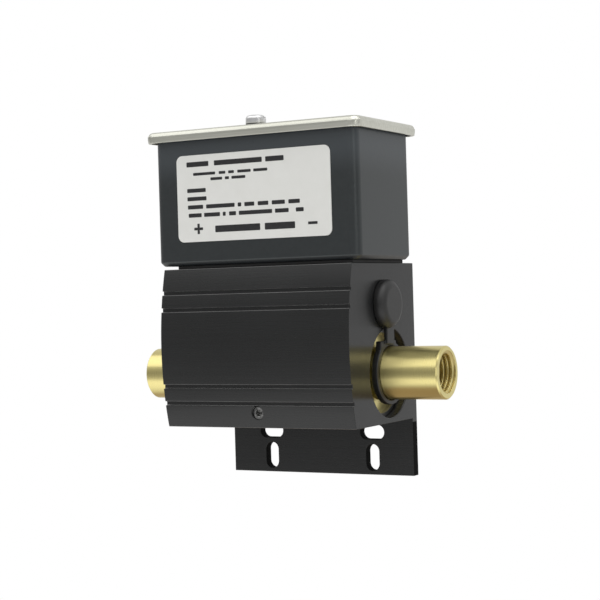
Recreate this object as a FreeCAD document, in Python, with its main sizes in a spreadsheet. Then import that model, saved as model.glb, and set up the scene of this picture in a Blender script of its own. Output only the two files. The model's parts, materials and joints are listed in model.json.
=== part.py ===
import FreeCAD, Part
import math
import os
import re
import Sketcher
from FreeCAD import Placement, Rotation, Vector

# Differential pressure switch for a wall.
# +X runs along the ports to the low pressure side, -Y faces the reader, +Z is up.
# The wall is the plane Y = 0. The origin is midway between the two level slots of the back flange.

# Driving sizes in millimetres
SIZES = {
    # Extruded sensor body with its back flange
    "body_width": 64.3,
    "body_height": 47.9,
    "body_depth": 44.6,
    "front_bow": 3.1,
    "groove_width": 1.2,
    "groove_depth": 0.8,
    "inner_groove_offset": 11.6,
    "outer_groove_offset": 16.75,
    "flange_thickness": 3.2,
    "flange_drop": 17.7,
    "slot_width": 4.5,
    "slot_length": 8.3,
    "slot_spacing": 36.1,
    "level_slot_drop": 4.4,
    "upright_slot_drop": 12.3,
    # Clearances
    "slip_clearance": 0.1,
    "running_clearance": 0.06,
    "touch_gap": 0.1,
    "side_gap": 0.3,
    "arm_clearance": 0.6,
    # Brass ports in the cross bore
    "port_axis_inset": 18.2,
    "port_axis_height": 15.0,
    "bore_diameter": 26.8,
    "port_recess": 4.0,
    "port_reach": 50.8,
    "port_tube_diameter": 15.875,
    "port_thread_diameter": 13.2,
    "port_thread_depth": 16.0,
    "port_mouth_chamfer": 0.45,
    "port_edge_chamfer": 0.3,
    "port_flange_thickness": 5.0,
    "port_passage_diameter": 5.0,
    "port_chamber_diameter": 20.0,
    "port_chamber_depth": 1.6,
    # Retaining rings
    "ring_thickness": 1.1,
    "ring_width": 2.1,
    "ring_groove_depth": 0.9,
    "ring_gap": 9.0,
    "ring_lug_diameter": 3.4,
    "ring_eye_diameter": 1.3,
    # Diaphragms, plates, push rod and the capsule round them
    "diaphragm_thickness": 0.8,
    "shuttle_travel": 1.6,
    "plate_diameter": 16.8,
    "plate_thickness": 2.0,
    "cup_diameter": 21.0,
    "cup_depth": 6.4,
    "rod_diameter": 6.0,
    "rod_spigot_diameter": 3.0,
    "window_depth": 5.0,
    # Bell crank lever on its pin
    "pivot_height": 44.0,
    "lever_inset": 20.2,
    "lever_width": 8.4,
    "lever_thickness": 2.0,
    "lever_hub_diameter": 6.0,
    "finger_width": 2.6,
    "finger_length": 18.0,
    "finger_overrun": 2.4,
    "button_arm": 13.5,
    "tip_diameter": 4.0,
    "pin_diameter": 3.0,
    "cheek_thickness": 1.5,
    "cheek_drop": 3.2,
    "carrier_length": 10.0,
    "carrier_lip": 2.5,
    # Range spring and its adjuster
    "adjuster_inset": 21.2,
    "adjuster_height": 35.7,
    "tunnel_diameter": 10.0,
    "spring_wire": 1.2,
    "spring_diameter": 8.2,
    "spring_length": 12.9,
    "spring_turns": 6.0,
    "seat_thickness": 2.0,
    "seat_pilot_length": 2.2,
    "adjuster_length": 8.0,
    "driver_slot_width": 1.6,
    "driver_slot_depth": 2.0,
    # Rubber plug on its strap
    "plug_diameter": 14.5,
    "plug_thickness": 3.6,
    "plug_edge_round": 2.5,
    "plug_shank_length": 5.0,
    "strap_width": 4.9,
    "strap_thickness": 1.3,
    "tether_width": 1.1,
    "tether_thickness": 1.9,
    "tether_setback": 1.3,
    "shoulder_width": 10.2,
    "shoulder_rise": 0.3,
    # Set screw in the lower front strip
    "set_screw_diameter": 4.0,
    "set_screw_height": 4.5,
    "set_screw_recess": 0.9,
    "set_screw_socket": 2.0,
    # Gasket between body and housing
    "gasket_thickness": 1.0,
    "gasket_screw_margin": 6.0,
    "gasket_side_inset": 1.6,
    "gasket_margin": 0.5,
    # Switch housing
    "housing_width": 69.1,
    "housing_depth": 36.6,
    "housing_back_inset": 5.06,
    "housing_height": 38.9,
    "housing_wall": 2.5,
    "floor_thickness": 2.5,
    "housing_corner_round": 3.0,
    "housing_foot_chamfer": 1.2,
    "conduit_diameter": 22.2,
    "conduit_height": 17.6,
    "lid_boss_diameter": 6.4,
    "lid_boss_height": 14.0,
    "tip_hole_diameter": 8.0,
    # Screws that hold the housing to the body
    "housing_screw_diameter": 4.0,
    "housing_screw_spacing": 48.0,
    "housing_screw_row_gap": 21.8,
    "housing_screw_length": 12.0,
    "housing_head_diameter": 7.0,
    "housing_head_height": 2.4,
    # Snap switch
    "switch_length": 49.2,
    "switch_width": 16.6,
    "switch_height": 19.0,
    "switch_end_gap": 1.45,
    "switch_lift": 3.0,
    "switch_hole_spacing": 25.4,
    "switch_hole_height": 5.0,
    "switch_screw_diameter": 3.5,
    "switch_head_diameter": 6.0,
    "switch_head_height": 2.2,
    "switch_screw_tail": 1.4,
    "plunger_diameter": 3.2,
    "plunger_reach": 1.6,
    "plunger_depth": 2.4,
    "plunger_socket_depth": 4.0,
    "barrier_height": 4.6,
    "barrier_thickness": 1.8,
    "terminal_length": 9.0,
    "terminal_thickness": 0.8,
    "terminal_spacing": 16.4,
    "terminal_screw_diameter": 3.5,
    "terminal_head_diameter": 6.2,
    "terminal_head_height": 2.0,
    "terminal_screw_length": 5.0,
    # Bracket that carries the switch
    "bracket_thickness": 1.5,
    "bracket_foot_depth": 8.6,
    "bracket_foot_end": 3.4,
    "bracket_height": 13.0,
    "bracket_side_margin": 3.4,
    # Lid with its gasket, screws and washers
    "lid_width": 73.1,
    "lid_depth": 41.1,
    "lid_height": 3.3,
    "lid_sheet": 0.9,
    "lid_corner_round": 3.4,
    "lid_edge_round": 1.3,
    "lid_gasket_thickness": 1.2,
    "lid_gasket_band": 6.6,
    "lid_gasket_margin": 0.4,
    "lid_screw_inset": 3.3,
    "lid_screw_diameter": 3.2,
    "lid_screw_length": 13.0,
    "lid_head_diameter": 6.1,
    "lid_head_height": 2.5,
    "lid_head_round": 1.1,
    "lid_washer_thickness": 0.5,
    "lid_slot_width": 1.0,
    "lid_slot_depth": 1.1,
    # Label on the housing's front
    "label_width": 52.7,
    "label_height": 26.2,
    "label_thickness": 0.2,
    "label_corner_round": 2.0,
    "label_rise": 7.1,
}

# Places that follow from the driving sizes
LAYOUT = {
    "body_end": "body_width / 2",
    "body_bottom": "level_slot_drop",
    "body_top": "body_bottom + body_height",
    "body_middle": "body_bottom + body_height / 2",
    "flange_bottom": "body_bottom - flange_drop",
    "upright_slot_z": "body_bottom - upright_slot_drop",
    "bow_radius": "(body_height ^ 2 / 4 + front_bow ^ 2) / (2 * front_bow)",
    "bow_centre": "bow_radius - body_depth",
    "front_corner": "front_bow - body_depth",
    "inner_groove_floor": "bow_centre - sqrt(bow_radius ^ 2 - inner_groove_offset ^ 2) + groove_depth",
    "outer_groove_floor": "bow_centre - sqrt(bow_radius ^ 2 - outer_groove_offset ^ 2) + groove_depth",
    "port_y": "0 - port_axis_inset",
    "port_z": "body_bottom + port_axis_height",
    "port_face": "body_end - port_recess",
    "port_seat": "port_face - port_flange_thickness",
    "port_flange_radius": "bore_diameter / 2 - slip_clearance",
    "thread_radius": "port_thread_diameter / 2",
    "thread_floor": "port_reach - port_thread_depth",
    "passage_radius": "port_passage_diameter / 2",
    "drill_point": "(thread_radius - passage_radius) / sqrt(3)",
    "ring_outer_radius": "bore_diameter / 2 + ring_groove_depth - running_clearance",
    "ring_inner_radius": "ring_outer_radius - ring_width",
    "ring_lug_reach": "ring_inner_radius - ring_lug_diameter / 4",
    "capsule_end": "port_seat - diaphragm_thickness",
    "cup_floor": "capsule_end - cup_depth",
    "plate_face": "capsule_end - shuttle_travel",
    "rod_shoulder": "plate_face - plate_thickness",
    "rod_hole_radius": "rod_diameter / 2 + running_clearance",
    "finger_slot_half": "lever_thickness / 2 + side_gap",
    "finger_slot_side": "finger_width / 2 + side_gap",
    "window_half": "finger_slot_half + shuttle_travel + side_gap",
    "lever_y": "0 - lever_inset",
    "pivot_z": "body_bottom + pivot_height",
    "crank_drop": "pivot_z - port_z",
    "finger_end": "crank_drop + finger_overrun",
    "lever_pocket_half": "carrier_length / 2 + side_gap",
    "lever_pocket_side": "lever_width / 2 + 2 * side_gap + cheek_thickness",
    "arm_end": "button_arm + tip_diameter / 2",
    "arm_pocket_end": "arm_end + arm_clearance",
    "arm_pocket_depth": "body_top - pivot_z + lever_thickness / 2 + arm_clearance",
    "carrier_side": "lever_pocket_side + carrier_lip",
    "cheek_inner": "lever_width / 2 + side_gap",
    "cheek_outer": "cheek_inner + cheek_thickness",
    "adjuster_y": "0 - adjuster_inset",
    "adjuster_z": "body_bottom + adjuster_height",
    "spring_start": "lever_thickness / 2 + touch_gap",
    "spring_coil_radius": "(spring_diameter - spring_wire) / 2",
    "spring_coil_length": "spring_length - spring_wire",
    "seat_start": "spring_start + spring_length + touch_gap",
    "seat_radius": "tunnel_diameter / 2 - running_clearance",
    "pilot_radius": "spring_diameter / 2 - spring_wire - side_gap",
    "adjuster_start": "seat_start + seat_thickness + touch_gap",
    "plug_shank_radius": "tunnel_diameter / 2 - side_gap",
    "tether_inner_radius": "port_tube_diameter / 2 + side_gap",
    "tether_outer_radius": "tether_inner_radius + tether_width",
    "tether_back": "body_end - tether_setback",
    "strap_back": "body_end + touch_gap",
    "strap_middle": "(port_axis_inset - adjuster_inset) / 2",
    "strap_top": "adjuster_z - port_z - plug_diameter / 2 + plug_thickness / 2",
    "set_screw_z": "body_bottom + set_screw_height",
    "set_screw_offset": "body_height / 2 - set_screw_height",
    "set_screw_face": "bow_centre - sqrt(bow_radius ^ 2 - set_screw_offset ^ 2) + set_screw_recess",
    "set_screw_radius": "set_screw_diameter / 2 - running_clearance",
    "set_screw_point": "set_screw_radius / 2",
    "set_screw_drop": "port_axis_height - set_screw_height - set_screw_point",
    "set_screw_end": "port_y - sqrt(port_flange_radius ^ 2 - set_screw_drop ^ 2) - touch_gap",
    "set_screw_length": "set_screw_end - set_screw_face",
    "housing_bottom": "body_top + gasket_thickness",
    "floor_top": "housing_bottom + floor_thickness",
    "housing_top": "housing_bottom + housing_height",
    "housing_back": "0 - housing_back_inset",
    "housing_front": "housing_back - housing_depth",
    "housing_middle": "housing_back - housing_depth / 2",
    "housing_end": "housing_width / 2",
    "inner_end": "housing_end - housing_wall",
    "inner_side": "housing_depth / 2 - housing_wall",
    "inner_corner_round": "housing_corner_round - housing_wall / 2",
    "conduit_z": "floor_top + conduit_height",
    "gasket_end": "housing_screw_spacing / 2 + gasket_screw_margin",
    "gasket_side": "housing_depth / 2 - gasket_side_inset",
    "lid_screw_reach": "housing_depth / 2 - lid_screw_inset",
    "switch_bottom": "floor_top + switch_lift",
    "switch_top": "switch_bottom + switch_height",
    "switch_end": "inner_end - switch_end_gap",
    "switch_start": "switch_end - switch_length",
    "switch_shift": "switch_end - switch_length / 2",
    "switch_front": "lever_y - switch_width / 2",
    "switch_back": "lever_y + switch_width / 2",
    "switch_hole_z": "switch_bottom + switch_hole_height",
    "barrier_top": "switch_top + barrier_height",
    "terminal_half": "terminal_length / 2",
    "plunger_bottom": "switch_bottom - plunger_reach",
    "tip_top": "plunger_bottom - touch_gap",
    "tip_height": "tip_top - pivot_z",
    "bracket_top": "floor_top + bracket_height",
    "bracket_half": "switch_hole_spacing / 2 + bracket_side_margin",
    "bracket_foot_half": "housing_screw_spacing / 2 + bracket_foot_end",
    "lid_underside": "housing_top + lid_gasket_thickness",
    "lid_top": "lid_underside + lid_sheet",
    "lid_bottom": "lid_top - lid_height",
    "label_bottom": "housing_bottom + label_rise",
}

# Ways a turned piece can face: its own +X axis is sent to the named direction
TO_RIGHT = Rotation()
TO_LEFT = Rotation(Vector(0, 0, 1), 180)
TO_BACK = Rotation(Vector(0, 0, 1), 90)
TO_FRONT = Rotation(Vector(0, 0, 1), -90)
TO_TOP = Rotation(Vector(0, 1, 0), -90)

doc = FreeCAD.newDocument("pressure_switch")
nodes = []


def formula(text):
    """Return a formula in which each size's name points at the sheet that holds it."""

    def with_sheet(match):
        name = match.group(0)
        if name in SIZES:
            return "Sizes." + name
        if name in LAYOUT:
            return "Layout." + name
        return name

    return re.sub(r"[a-z][a-z_]*", with_sheet, text)


def fill_sheet(title, cells):
    """Make a sheet with a name in column A and the aliased cell beside it."""
    sheet = doc.addObject("Spreadsheet::Sheet", title)
    for row, (alias, content) in enumerate(cells.items(), start=1):
        sheet.set(f"A{row}", alias)
        sheet.set(f"B{row}", content)
        sheet.setAlias(f"B{row}", alias)
    doc.recompute()
    return sheet


fill_sheet("Sizes", {alias: str(number) for alias, number in SIZES.items()})
layout_sheet = fill_sheet("Layout", {alias: "=" + formula(text) for alias, text in LAYOUT.items()})


def value(text):
    """Work a formula out as a plain number."""
    return float(layout_sheet.evalExpression(formula(text)))


def bind(item, formulas):
    """Tie properties of a document object to formulas."""
    for name, text in formulas.items():
        item.setExpression(name, formula(text))


def new_body(label, x="0", y="0", z="0", facing=TO_RIGHT):
    """Start a body whose own origin lies at a place given by formulas."""
    body = doc.addObject("PartDesign::Body", label)
    body.Label = label
    body.Placement = Placement(Vector(), facing)
    bind(body, {"Placement.Base.x": x, "Placement.Base.y": y, "Placement.Base.z": z})
    return body


def keep(item):
    """Count a finished document object among the nodes."""
    nodes.append(item)
    return item


def new_sketch(body, name, role, offset="0"):
    """Attach a sketch to one of the body's own origin planes, moved along that plane's normal."""
    sketch = body.newObject("Sketcher::SketchObject", f"{body.Name}_{name}")
    plane = next(item for item in body.Origin.OriginFeatures if item.Role == role)
    sketch.AttachmentSupport = [(plane, "")]
    sketch.MapMode = "FlatFace"
    bind(sketch, {"AttachmentOffset.Base.z": offset})
    return sketch


def hold(sketch, kind, geometry, point, text):
    """Add one coordinate constraint that follows a formula."""
    number = sketch.addConstraint(Sketcher.Constraint(kind, geometry, point, value(text)))
    sketch.setExpression(f"Constraints[{number}]", formula(text))


def bowed_edge(start, end, centre):
    """Return the arc from start to end about a centre, and whether it runs anticlockwise."""
    first = math.atan2(start.y - centre.y, start.x - centre.x)
    last = math.atan2(end.y - centre.y, end.x - centre.x)
    sweep = (last - first) % (2 * math.pi)
    anticlockwise = sweep <= math.pi + 1e-6
    circle = Part.Circle(centre, Vector(0, 0, 1), start.distanceToPoint(centre))
    if anticlockwise:
        return Part.ArcOfCircle(circle, first, first + sweep), True
    return Part.ArcOfCircle(circle, last, last + 2 * math.pi - sweep), False


def draw_outline(sketch, corners, bows=None):
    """Draw a closed outline. bows gives the centre of each edge that is an arc, by the edge's number."""
    bows = bows or {}
    points = [Vector(value(x), value(y), 0) for x, y in corners]
    count = len(points)
    first = sketch.GeometryCount
    ends = []
    for edge in range(count):
        start = points[edge]
        end = points[(edge + 1) % count]
        if edge in bows:
            x, y = bows[edge]
            arc, anticlockwise = bowed_edge(start, end, Vector(value(x), value(y), 0))
            sketch.addGeometry(arc, False)
            ends.append((1, 2) if anticlockwise else (2, 1))
        else:
            sketch.addGeometry(Part.LineSegment(start, end), False)
            ends.append((1, 2))
    for edge in range(count):
        following = (edge + 1) % count
        sketch.addConstraint(Sketcher.Constraint(
            "Coincident", first + edge, ends[edge][1], first + following, ends[following][0]))
    for edge, (x, y) in enumerate(corners):
        hold(sketch, "DistanceX", first + edge, ends[edge][0], x)
        hold(sketch, "DistanceY", first + edge, ends[edge][0], y)
    for edge, (x, y) in bows.items():
        chord = points[(edge + 1) % count] - points[edge]
        across = ("DistanceX", x) if abs(chord.y) > abs(chord.x) else ("DistanceY", y)
        hold(sketch, across[0], first + edge, 3, across[1])


def draw_circle(sketch, x, y, diameter):
    """Draw a circle at a place given by formulas."""
    centre = Vector(value(x), value(y), 0)
    circle = sketch.addGeometry(Part.Circle(centre, Vector(0, 0, 1), value(diameter) / 2), False)
    hold(sketch, "DistanceX", circle, 3, x)
    hold(sketch, "DistanceY", circle, 3, y)
    number = sketch.addConstraint(Sketcher.Constraint("Diameter", circle, value(diameter)))
    sketch.setExpression(f"Constraints[{number}]", formula(diameter))


def draw_box(sketch, left, right, bottom, top):
    """Draw a rectangle between four formulas."""
    draw_outline(sketch, [(left, bottom), (right, bottom), (right, top), (left, top)])


def draw_slot(sketch, x, y, upright):
    """Draw one round-ended flange slot."""
    straight = "(slot_length - slot_width) / 2"
    if upright:
        near, far = f"{y} - {straight}", f"{y} + {straight}"
        left, right = f"{x} - slot_width / 2", f"{x} + slot_width / 2"
        corners = [(right, near), (right, far), (left, far), (left, near)]
        draw_outline(sketch, corners, {1: (x, far), 3: (x, near)})
    else:
        near, far = f"{x} - {straight}", f"{x} + {straight}"
        low, high = f"{y} - slot_width / 2", f"{y} + slot_width / 2"
        corners = [(near, low), (far, low), (far, high), (near, high)]
        draw_outline(sketch, corners, {1: (far, y), 3: (near, y)})


def pad(body, sketch, length, symmetric=False, backwards=False):
    """Add material from a sketch."""
    feature = body.newObject("PartDesign::Pad", sketch.Name + "_pad")
    feature.Profile = sketch
    feature.SideType = "Symmetric" if symmetric else "One side"
    feature.Reversed = backwards
    bind(feature, {"Length": length})
    return feature


def pocket(body, sketch, length, symmetric=False):
    """Take material away behind a sketch."""
    feature = body.newObject("PartDesign::Pocket", sketch.Name + "_cut")
    feature.Profile = sketch
    feature.SideType = "Symmetric" if symmetric else "One side"
    bind(feature, {"Length": length})
    return feature


def turn(body, name, corners, bows=None):
    """Add a revolved profile: each corner is a place along the body's X axis and a radius."""
    sketch = new_sketch(body, name, "XY_Plane")
    draw_outline(sketch, corners, bows)
    feature = body.newObject("PartDesign::Revolution", sketch.Name + "_turn")
    feature.Profile = sketch
    feature.ReferenceAxis = (sketch, ["H_Axis"])
    feature.Angle = 360
    return feature


def edges_where(shape, test):
    """Name the edges of a shape that pass a test."""
    return [f"Edge{number}" for number, edge in enumerate(shape.Edges, start=1) if test(edge)]


def runs_along(edge, axis):
    """Say whether an edge is a straight line along an axis."""
    if not isinstance(edge.Curve, Part.Line):
        return False
    return abs(abs(edge.Curve.Direction.dot(axis)) - 1) < 1e-6


def round_edges(body, base, test, radius):
    """Round the edges of the last feature that pass a test."""
    doc.recompute()
    feature = body.newObject("PartDesign::Fillet", base.Name + "_round")
    feature.Base = (base, edges_where(base.Shape, test))
    bind(feature, {"Radius": radius})
    return feature


def group(label, members):
    """Collect like pieces in one node."""
    item = doc.addObject("Part::Compound", label)
    item.Label = label
    item.Links = members
    return keep(item)


def slotted_head(body, head_height, width, depth, across):
    """Cut a screwdriver slot across the end of a turned screw."""
    sketch = new_sketch(body, "driver_slot", "YZ_Plane", head_height)
    half = f"{across} / 2 + slip_clearance"
    draw_box(sketch, f"0 - {width} / 2", f"{width} / 2", f"0 - ({half})", half)
    pocket(body, sketch, depth)


def pan_screw(label, place, facing, head, shank, slot):
    """Turn a pan head screw. Its head sits on the given place and its shank runs the other way."""
    diameter, height, edge_round = head
    shank_diameter, length = shank
    body = new_body(label, *place, facing=facing)
    rim = f"{height} - {edge_round}"
    shoulder = f"{diameter} / 2 - {edge_round}"
    turn(body, "profile", [
        (f"0 - {length}", "0"),
        (f"0 - {length}", f"{shank_diameter} / 2"),
        ("0", f"{shank_diameter} / 2"),
        ("0", f"{diameter} / 2"),
        (rim, f"{diameter} / 2"),
        (height, shoulder),
        (height, "0"),
    ], {4: (rim, shoulder)})
    slotted_head(body, height, slot[0], slot[1], diameter)
    return body


# Sensor body
def make_sensor_body():
    body = new_body("sensor_body")
    outline = new_sketch(body, "section", "YZ_Plane")
    draw_outline(outline, [
        ("0", "flange_bottom"),
        ("0", "body_top"),
        ("front_corner", "body_top"),
        ("front_corner", "body_bottom"),
        ("0 - flange_thickness", "body_bottom"),
        ("0 - flange_thickness", "flange_bottom"),
    ], {2: ("bow_centre", "body_middle")})
    pad(body, outline, "body_width", symmetric=True)

    grooves = new_sketch(body, "grooves", "YZ_Plane")
    for offset, floor in (("inner_groove_offset", "inner_groove_floor"),
                          ("outer_groove_offset", "outer_groove_floor")):
        for sign in ("+", "-"):
            middle = f"body_middle {sign} {offset}"
            draw_box(grooves, "0 - body_depth - groove_depth", floor,
                     f"{middle} - groove_width / 2", f"{middle} + groove_width / 2")
    pocket(body, grooves, "body_width", symmetric=True)

    bore = new_sketch(body, "bore", "YZ_Plane")
    draw_circle(bore, "port_y", "port_z", "bore_diameter")
    pocket(body, bore, "body_width", symmetric=True)

    groove_length = "ring_thickness + slip_clearance"
    for side, start in (("low", f"port_face + {groove_length}"), ("high", "0 - port_face")):
        ring_groove = new_sketch(body, f"ring_groove_{side}", "YZ_Plane", start)
        draw_circle(ring_groove, "port_y", "port_z", "bore_diameter + 2 * ring_groove_depth")
        pocket(body, ring_groove, groove_length)

    tunnel = new_sketch(body, "tunnel", "YZ_Plane", "body_end")
    draw_circle(tunnel, "adjuster_y", "adjuster_z", "tunnel_diameter")
    pocket(body, tunnel, "body_end")

    lever_pocket = new_sketch(body, "lever_pocket", "XY_Plane", "body_top")
    draw_box(lever_pocket, "0 - lever_pocket_half", "lever_pocket_half",
             "lever_y - lever_pocket_side", "lever_y + lever_pocket_side")
    pocket(body, lever_pocket, "body_top - port_z")

    arm_pocket = new_sketch(body, "arm_pocket", "XY_Plane", "body_top")
    draw_box(arm_pocket, "0", "arm_pocket_end", "lever_y - lever_pocket_side", "lever_y + lever_pocket_side")
    pocket(body, arm_pocket, "arm_pocket_depth")

    tapped = new_sketch(body, "tapped_holes", "XY_Plane", "body_top")
    for x, y in housing_screw_places():
        draw_circle(tapped, x, y, "housing_screw_diameter + slip_clearance")
    pocket(body, tapped, "housing_screw_length - floor_thickness")

    set_hole = new_sketch(body, "set_screw_hole", "XZ_Plane", "body_depth")
    draw_circle(set_hole, "0", "set_screw_z", "set_screw_diameter")
    pocket(body, set_hole, "body_depth - port_axis_inset")

    slots = new_sketch(body, "slots", "XZ_Plane", "body_depth")
    for x in ("0 - slot_spacing / 2", "slot_spacing / 2"):
        draw_slot(slots, x, "0", upright=False)
        draw_slot(slots, x, "upright_slot_z", upright=True)
    pocket(body, slots, "body_depth")
    keep(body)


def housing_screw_places():
    """Give the four housing screws' places as formulas."""
    return [
        (f"0 {side} housing_screw_spacing / 2", f"housing_middle {row} housing_screw_row_gap / 2")
        for side in ("-", "+") for row in ("-", "+")
    ]


# Brass ports, with the thread left as its plain major bore
def make_port(label, facing):
    body = new_body(label, "0", "port_y", "port_z", facing)
    chamber_floor = "port_seat + port_chamber_depth"
    turn(body, "profile", [
        ("port_seat", "port_chamber_diameter / 2"),
        ("port_seat", "port_flange_radius"),
        ("port_face", "port_flange_radius"),
        ("port_face", "port_tube_diameter / 2"),
        ("port_reach - port_edge_chamfer", "port_tube_diameter / 2"),
        ("port_reach", "port_tube_diameter / 2 - port_edge_chamfer"),
        ("port_reach", "thread_radius + port_mouth_chamfer"),
        ("port_reach - port_mouth_chamfer", "thread_radius"),
        ("thread_floor", "thread_radius"),
        ("thread_floor - drill_point", "passage_radius"),
        (chamber_floor, "passage_radius"),
        (chamber_floor, "port_chamber_diameter / 2"),
    ])
    keep(body)


# Sprung retaining ring with two plier eyes beside its gap, which faces the front
def make_retaining_ring(label, start):
    body = new_body(label, start, "port_y", "port_z")
    hoop = new_sketch(body, "hoop", "YZ_Plane")
    draw_circle(hoop, "0", "0", "2 * ring_outer_radius")
    draw_circle(hoop, "0", "0", "2 * ring_inner_radius")
    pad(body, hoop, "ring_thickness")
    gap = new_sketch(body, "gap", "YZ_Plane", "ring_thickness")
    draw_box(gap, "0 - ring_outer_radius - ring_width", "0", "0 - ring_gap / 2", "ring_gap / 2")
    pocket(body, gap, "ring_thickness")
    lug_rise = "(ring_gap + ring_lug_diameter) / 2"
    lug_side = f"0 - sqrt(ring_lug_reach ^ 2 - ({lug_rise}) ^ 2)"
    for name, sign in (("upper", ""), ("lower", "0 - ")):
        lug = new_sketch(body, f"{name}_lug", "YZ_Plane")
        draw_circle(lug, lug_side, sign + lug_rise, "ring_lug_diameter")
        pad(body, lug, "ring_thickness")
        eye = new_sketch(body, f"{name}_eye", "YZ_Plane", "ring_thickness")
        draw_circle(eye, lug_side, sign + lug_rise, "ring_eye_diameter")
        pocket(body, eye, "ring_thickness")
    keep(body)


# Diaphragm dished towards the middle, its rim gripped between port and capsule
def make_diaphragm(label, facing):
    body = new_body(label, "0", "port_y", "port_z", facing)
    turn(body, "profile", [
        ("plate_face", "0"),
        ("plate_face", "plate_diameter / 2"),
        ("capsule_end", "cup_diameter / 2"),
        ("capsule_end", "port_flange_radius"),
        ("port_seat", "port_flange_radius"),
        ("port_seat", "cup_diameter / 2 - diaphragm_thickness"),
        ("plate_face + diaphragm_thickness", "plate_diameter / 2 - diaphragm_thickness"),
        ("plate_face + diaphragm_thickness", "0"),
    ])
    keep(body)


def make_diaphragm_plate(label, facing):
    body = new_body(label, "0", "port_y", "port_z", facing)
    turn(body, "profile", [
        ("rod_shoulder", "rod_spigot_diameter / 2"),
        ("rod_shoulder", "plate_diameter / 2 - plate_thickness / 2"),
        ("plate_face - plate_thickness / 2", "plate_diameter / 2"),
        ("plate_face", "plate_diameter / 2"),
        ("plate_face", "rod_spigot_diameter / 2"),
    ])
    keep(body)


def make_push_rod():
    body = new_body("push_rod", "0", "port_y", "port_z")
    turn(body, "profile", [
        ("0 - plate_face", "0"),
        ("0 - plate_face", "rod_spigot_diameter / 2"),
        ("0 - rod_shoulder", "rod_spigot_diameter / 2"),
        ("0 - rod_shoulder", "rod_diameter / 2"),
        ("rod_shoulder", "rod_diameter / 2"),
        ("rod_shoulder", "rod_spigot_diameter / 2"),
        ("plate_face", "rod_spigot_diameter / 2"),
        ("plate_face", "0"),
    ])
    slot = new_sketch(body, "finger_slot", "XY_Plane")
    draw_box(slot, "0 - finger_slot_half", "finger_slot_half", "0 - finger_slot_side", "finger_slot_side")
    pocket(body, slot, "2 * rod_diameter", symmetric=True)
    keep(body)


# Capsule that guides the push rod, with a cup at each end for the plates and a window for the lever
def make_sensing_capsule():
    body = new_body("sensing_capsule", "0", "port_y", "port_z")
    turn(body, "profile", [
        ("0 - capsule_end", "cup_diameter / 2"),
        ("0 - capsule_end", "port_flange_radius"),
        ("capsule_end", "port_flange_radius"),
        ("capsule_end", "cup_diameter / 2"),
        ("cup_floor", "cup_diameter / 2"),
        ("cup_floor", "rod_hole_radius"),
        ("0 - cup_floor", "rod_hole_radius"),
        ("0 - cup_floor", "cup_diameter / 2"),
    ])
    window = new_sketch(body, "window", "XY_Plane", "port_flange_radius")
    reach = "lever_inset - port_axis_inset + lever_width / 2 + side_gap"
    draw_box(window, "0 - window_half", "window_half", f"0 - ({reach})", reach)
    pocket(body, window, "port_flange_radius + window_depth")
    keep(body)


def make_set_screw():
    body = new_body("set_screw", "0", "set_screw_face", "set_screw_z", TO_FRONT)
    turn(body, "profile", [
        ("0 - set_screw_length", "0"),
        ("0 - set_screw_length", "set_screw_point"),
        ("set_screw_point - set_screw_length", "set_screw_radius"),
        ("0", "set_screw_radius"),
        ("0", "0"),
    ])
    socket = new_sketch(body, "socket", "YZ_Plane")
    corner = "set_screw_socket / sqrt(3)"
    draw_outline(socket, [
        (corner, "0"),
        (f"{corner} / 2", "set_screw_socket / 2"),
        (f"0 - {corner} / 2", "set_screw_socket / 2"),
        (f"0 - {corner}", "0"),
        (f"0 - {corner} / 2", "0 - set_screw_socket / 2"),
        (f"{corner} / 2", "0 - set_screw_socket / 2"),
    ])
    pocket(body, socket, "set_screw_socket")
    keep(body)


# Bell crank: a finger down into the push rod, an arm to the right and a post up to the switch plunger
def make_lever():
    body = new_body("lever", "0", "lever_y", "pivot_z")
    half = "lever_thickness / 2"
    crank = new_sketch(body, "crank", "XZ_Plane")
    draw_outline(crank, [
        (f"0 - {half}", "0 - finger_end"),
        (half, "0 - finger_end"),
        (half, f"0 - {half}"),
        ("arm_end", f"0 - {half}"),
        ("arm_end", half),
        (f"0 - {half}", half),
    ])
    pad(body, crank, "lever_width", symmetric=True)

    shoulder = "finger_length - finger_end"
    finger_y = "lever_inset - port_axis_inset"
    beside = new_sketch(body, "finger_sides", "YZ_Plane")
    below = "0 - finger_end - lever_width"
    draw_box(beside, "0 - lever_width", f"{finger_y} - finger_width / 2", below, shoulder)
    draw_box(beside, f"{finger_y} + finger_width / 2", "lever_width", below, shoulder)
    pocket(body, beside, "2 * lever_thickness", symmetric=True)

    hub = new_sketch(body, "hub", "XZ_Plane")
    draw_circle(hub, "0", "0", "lever_hub_diameter")
    pad(body, hub, "lever_width", symmetric=True)

    tip = new_sketch(body, "tip", "XZ_Plane")
    radius = "tip_diameter / 2"
    draw_outline(tip, [
        ("button_arm", "0"),
        (f"button_arm + {radius}", "0"),
        (f"button_arm + {radius}", f"tip_height - {radius}"),
        ("button_arm", "tip_height"),
    ], {2: ("button_arm", f"tip_height - {radius}")})
    post = body.newObject("PartDesign::Revolution", "lever_post")
    post.Profile = tip
    post.ReferenceAxis = (tip, ["Edge4"])
    post.Angle = 360

    eye = new_sketch(body, "eye", "XZ_Plane")
    draw_circle(eye, "0", "0", "pin_diameter + 2 * running_clearance")
    pocket(body, eye, "2 * lever_width", symmetric=True)
    keep(body)


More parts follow.
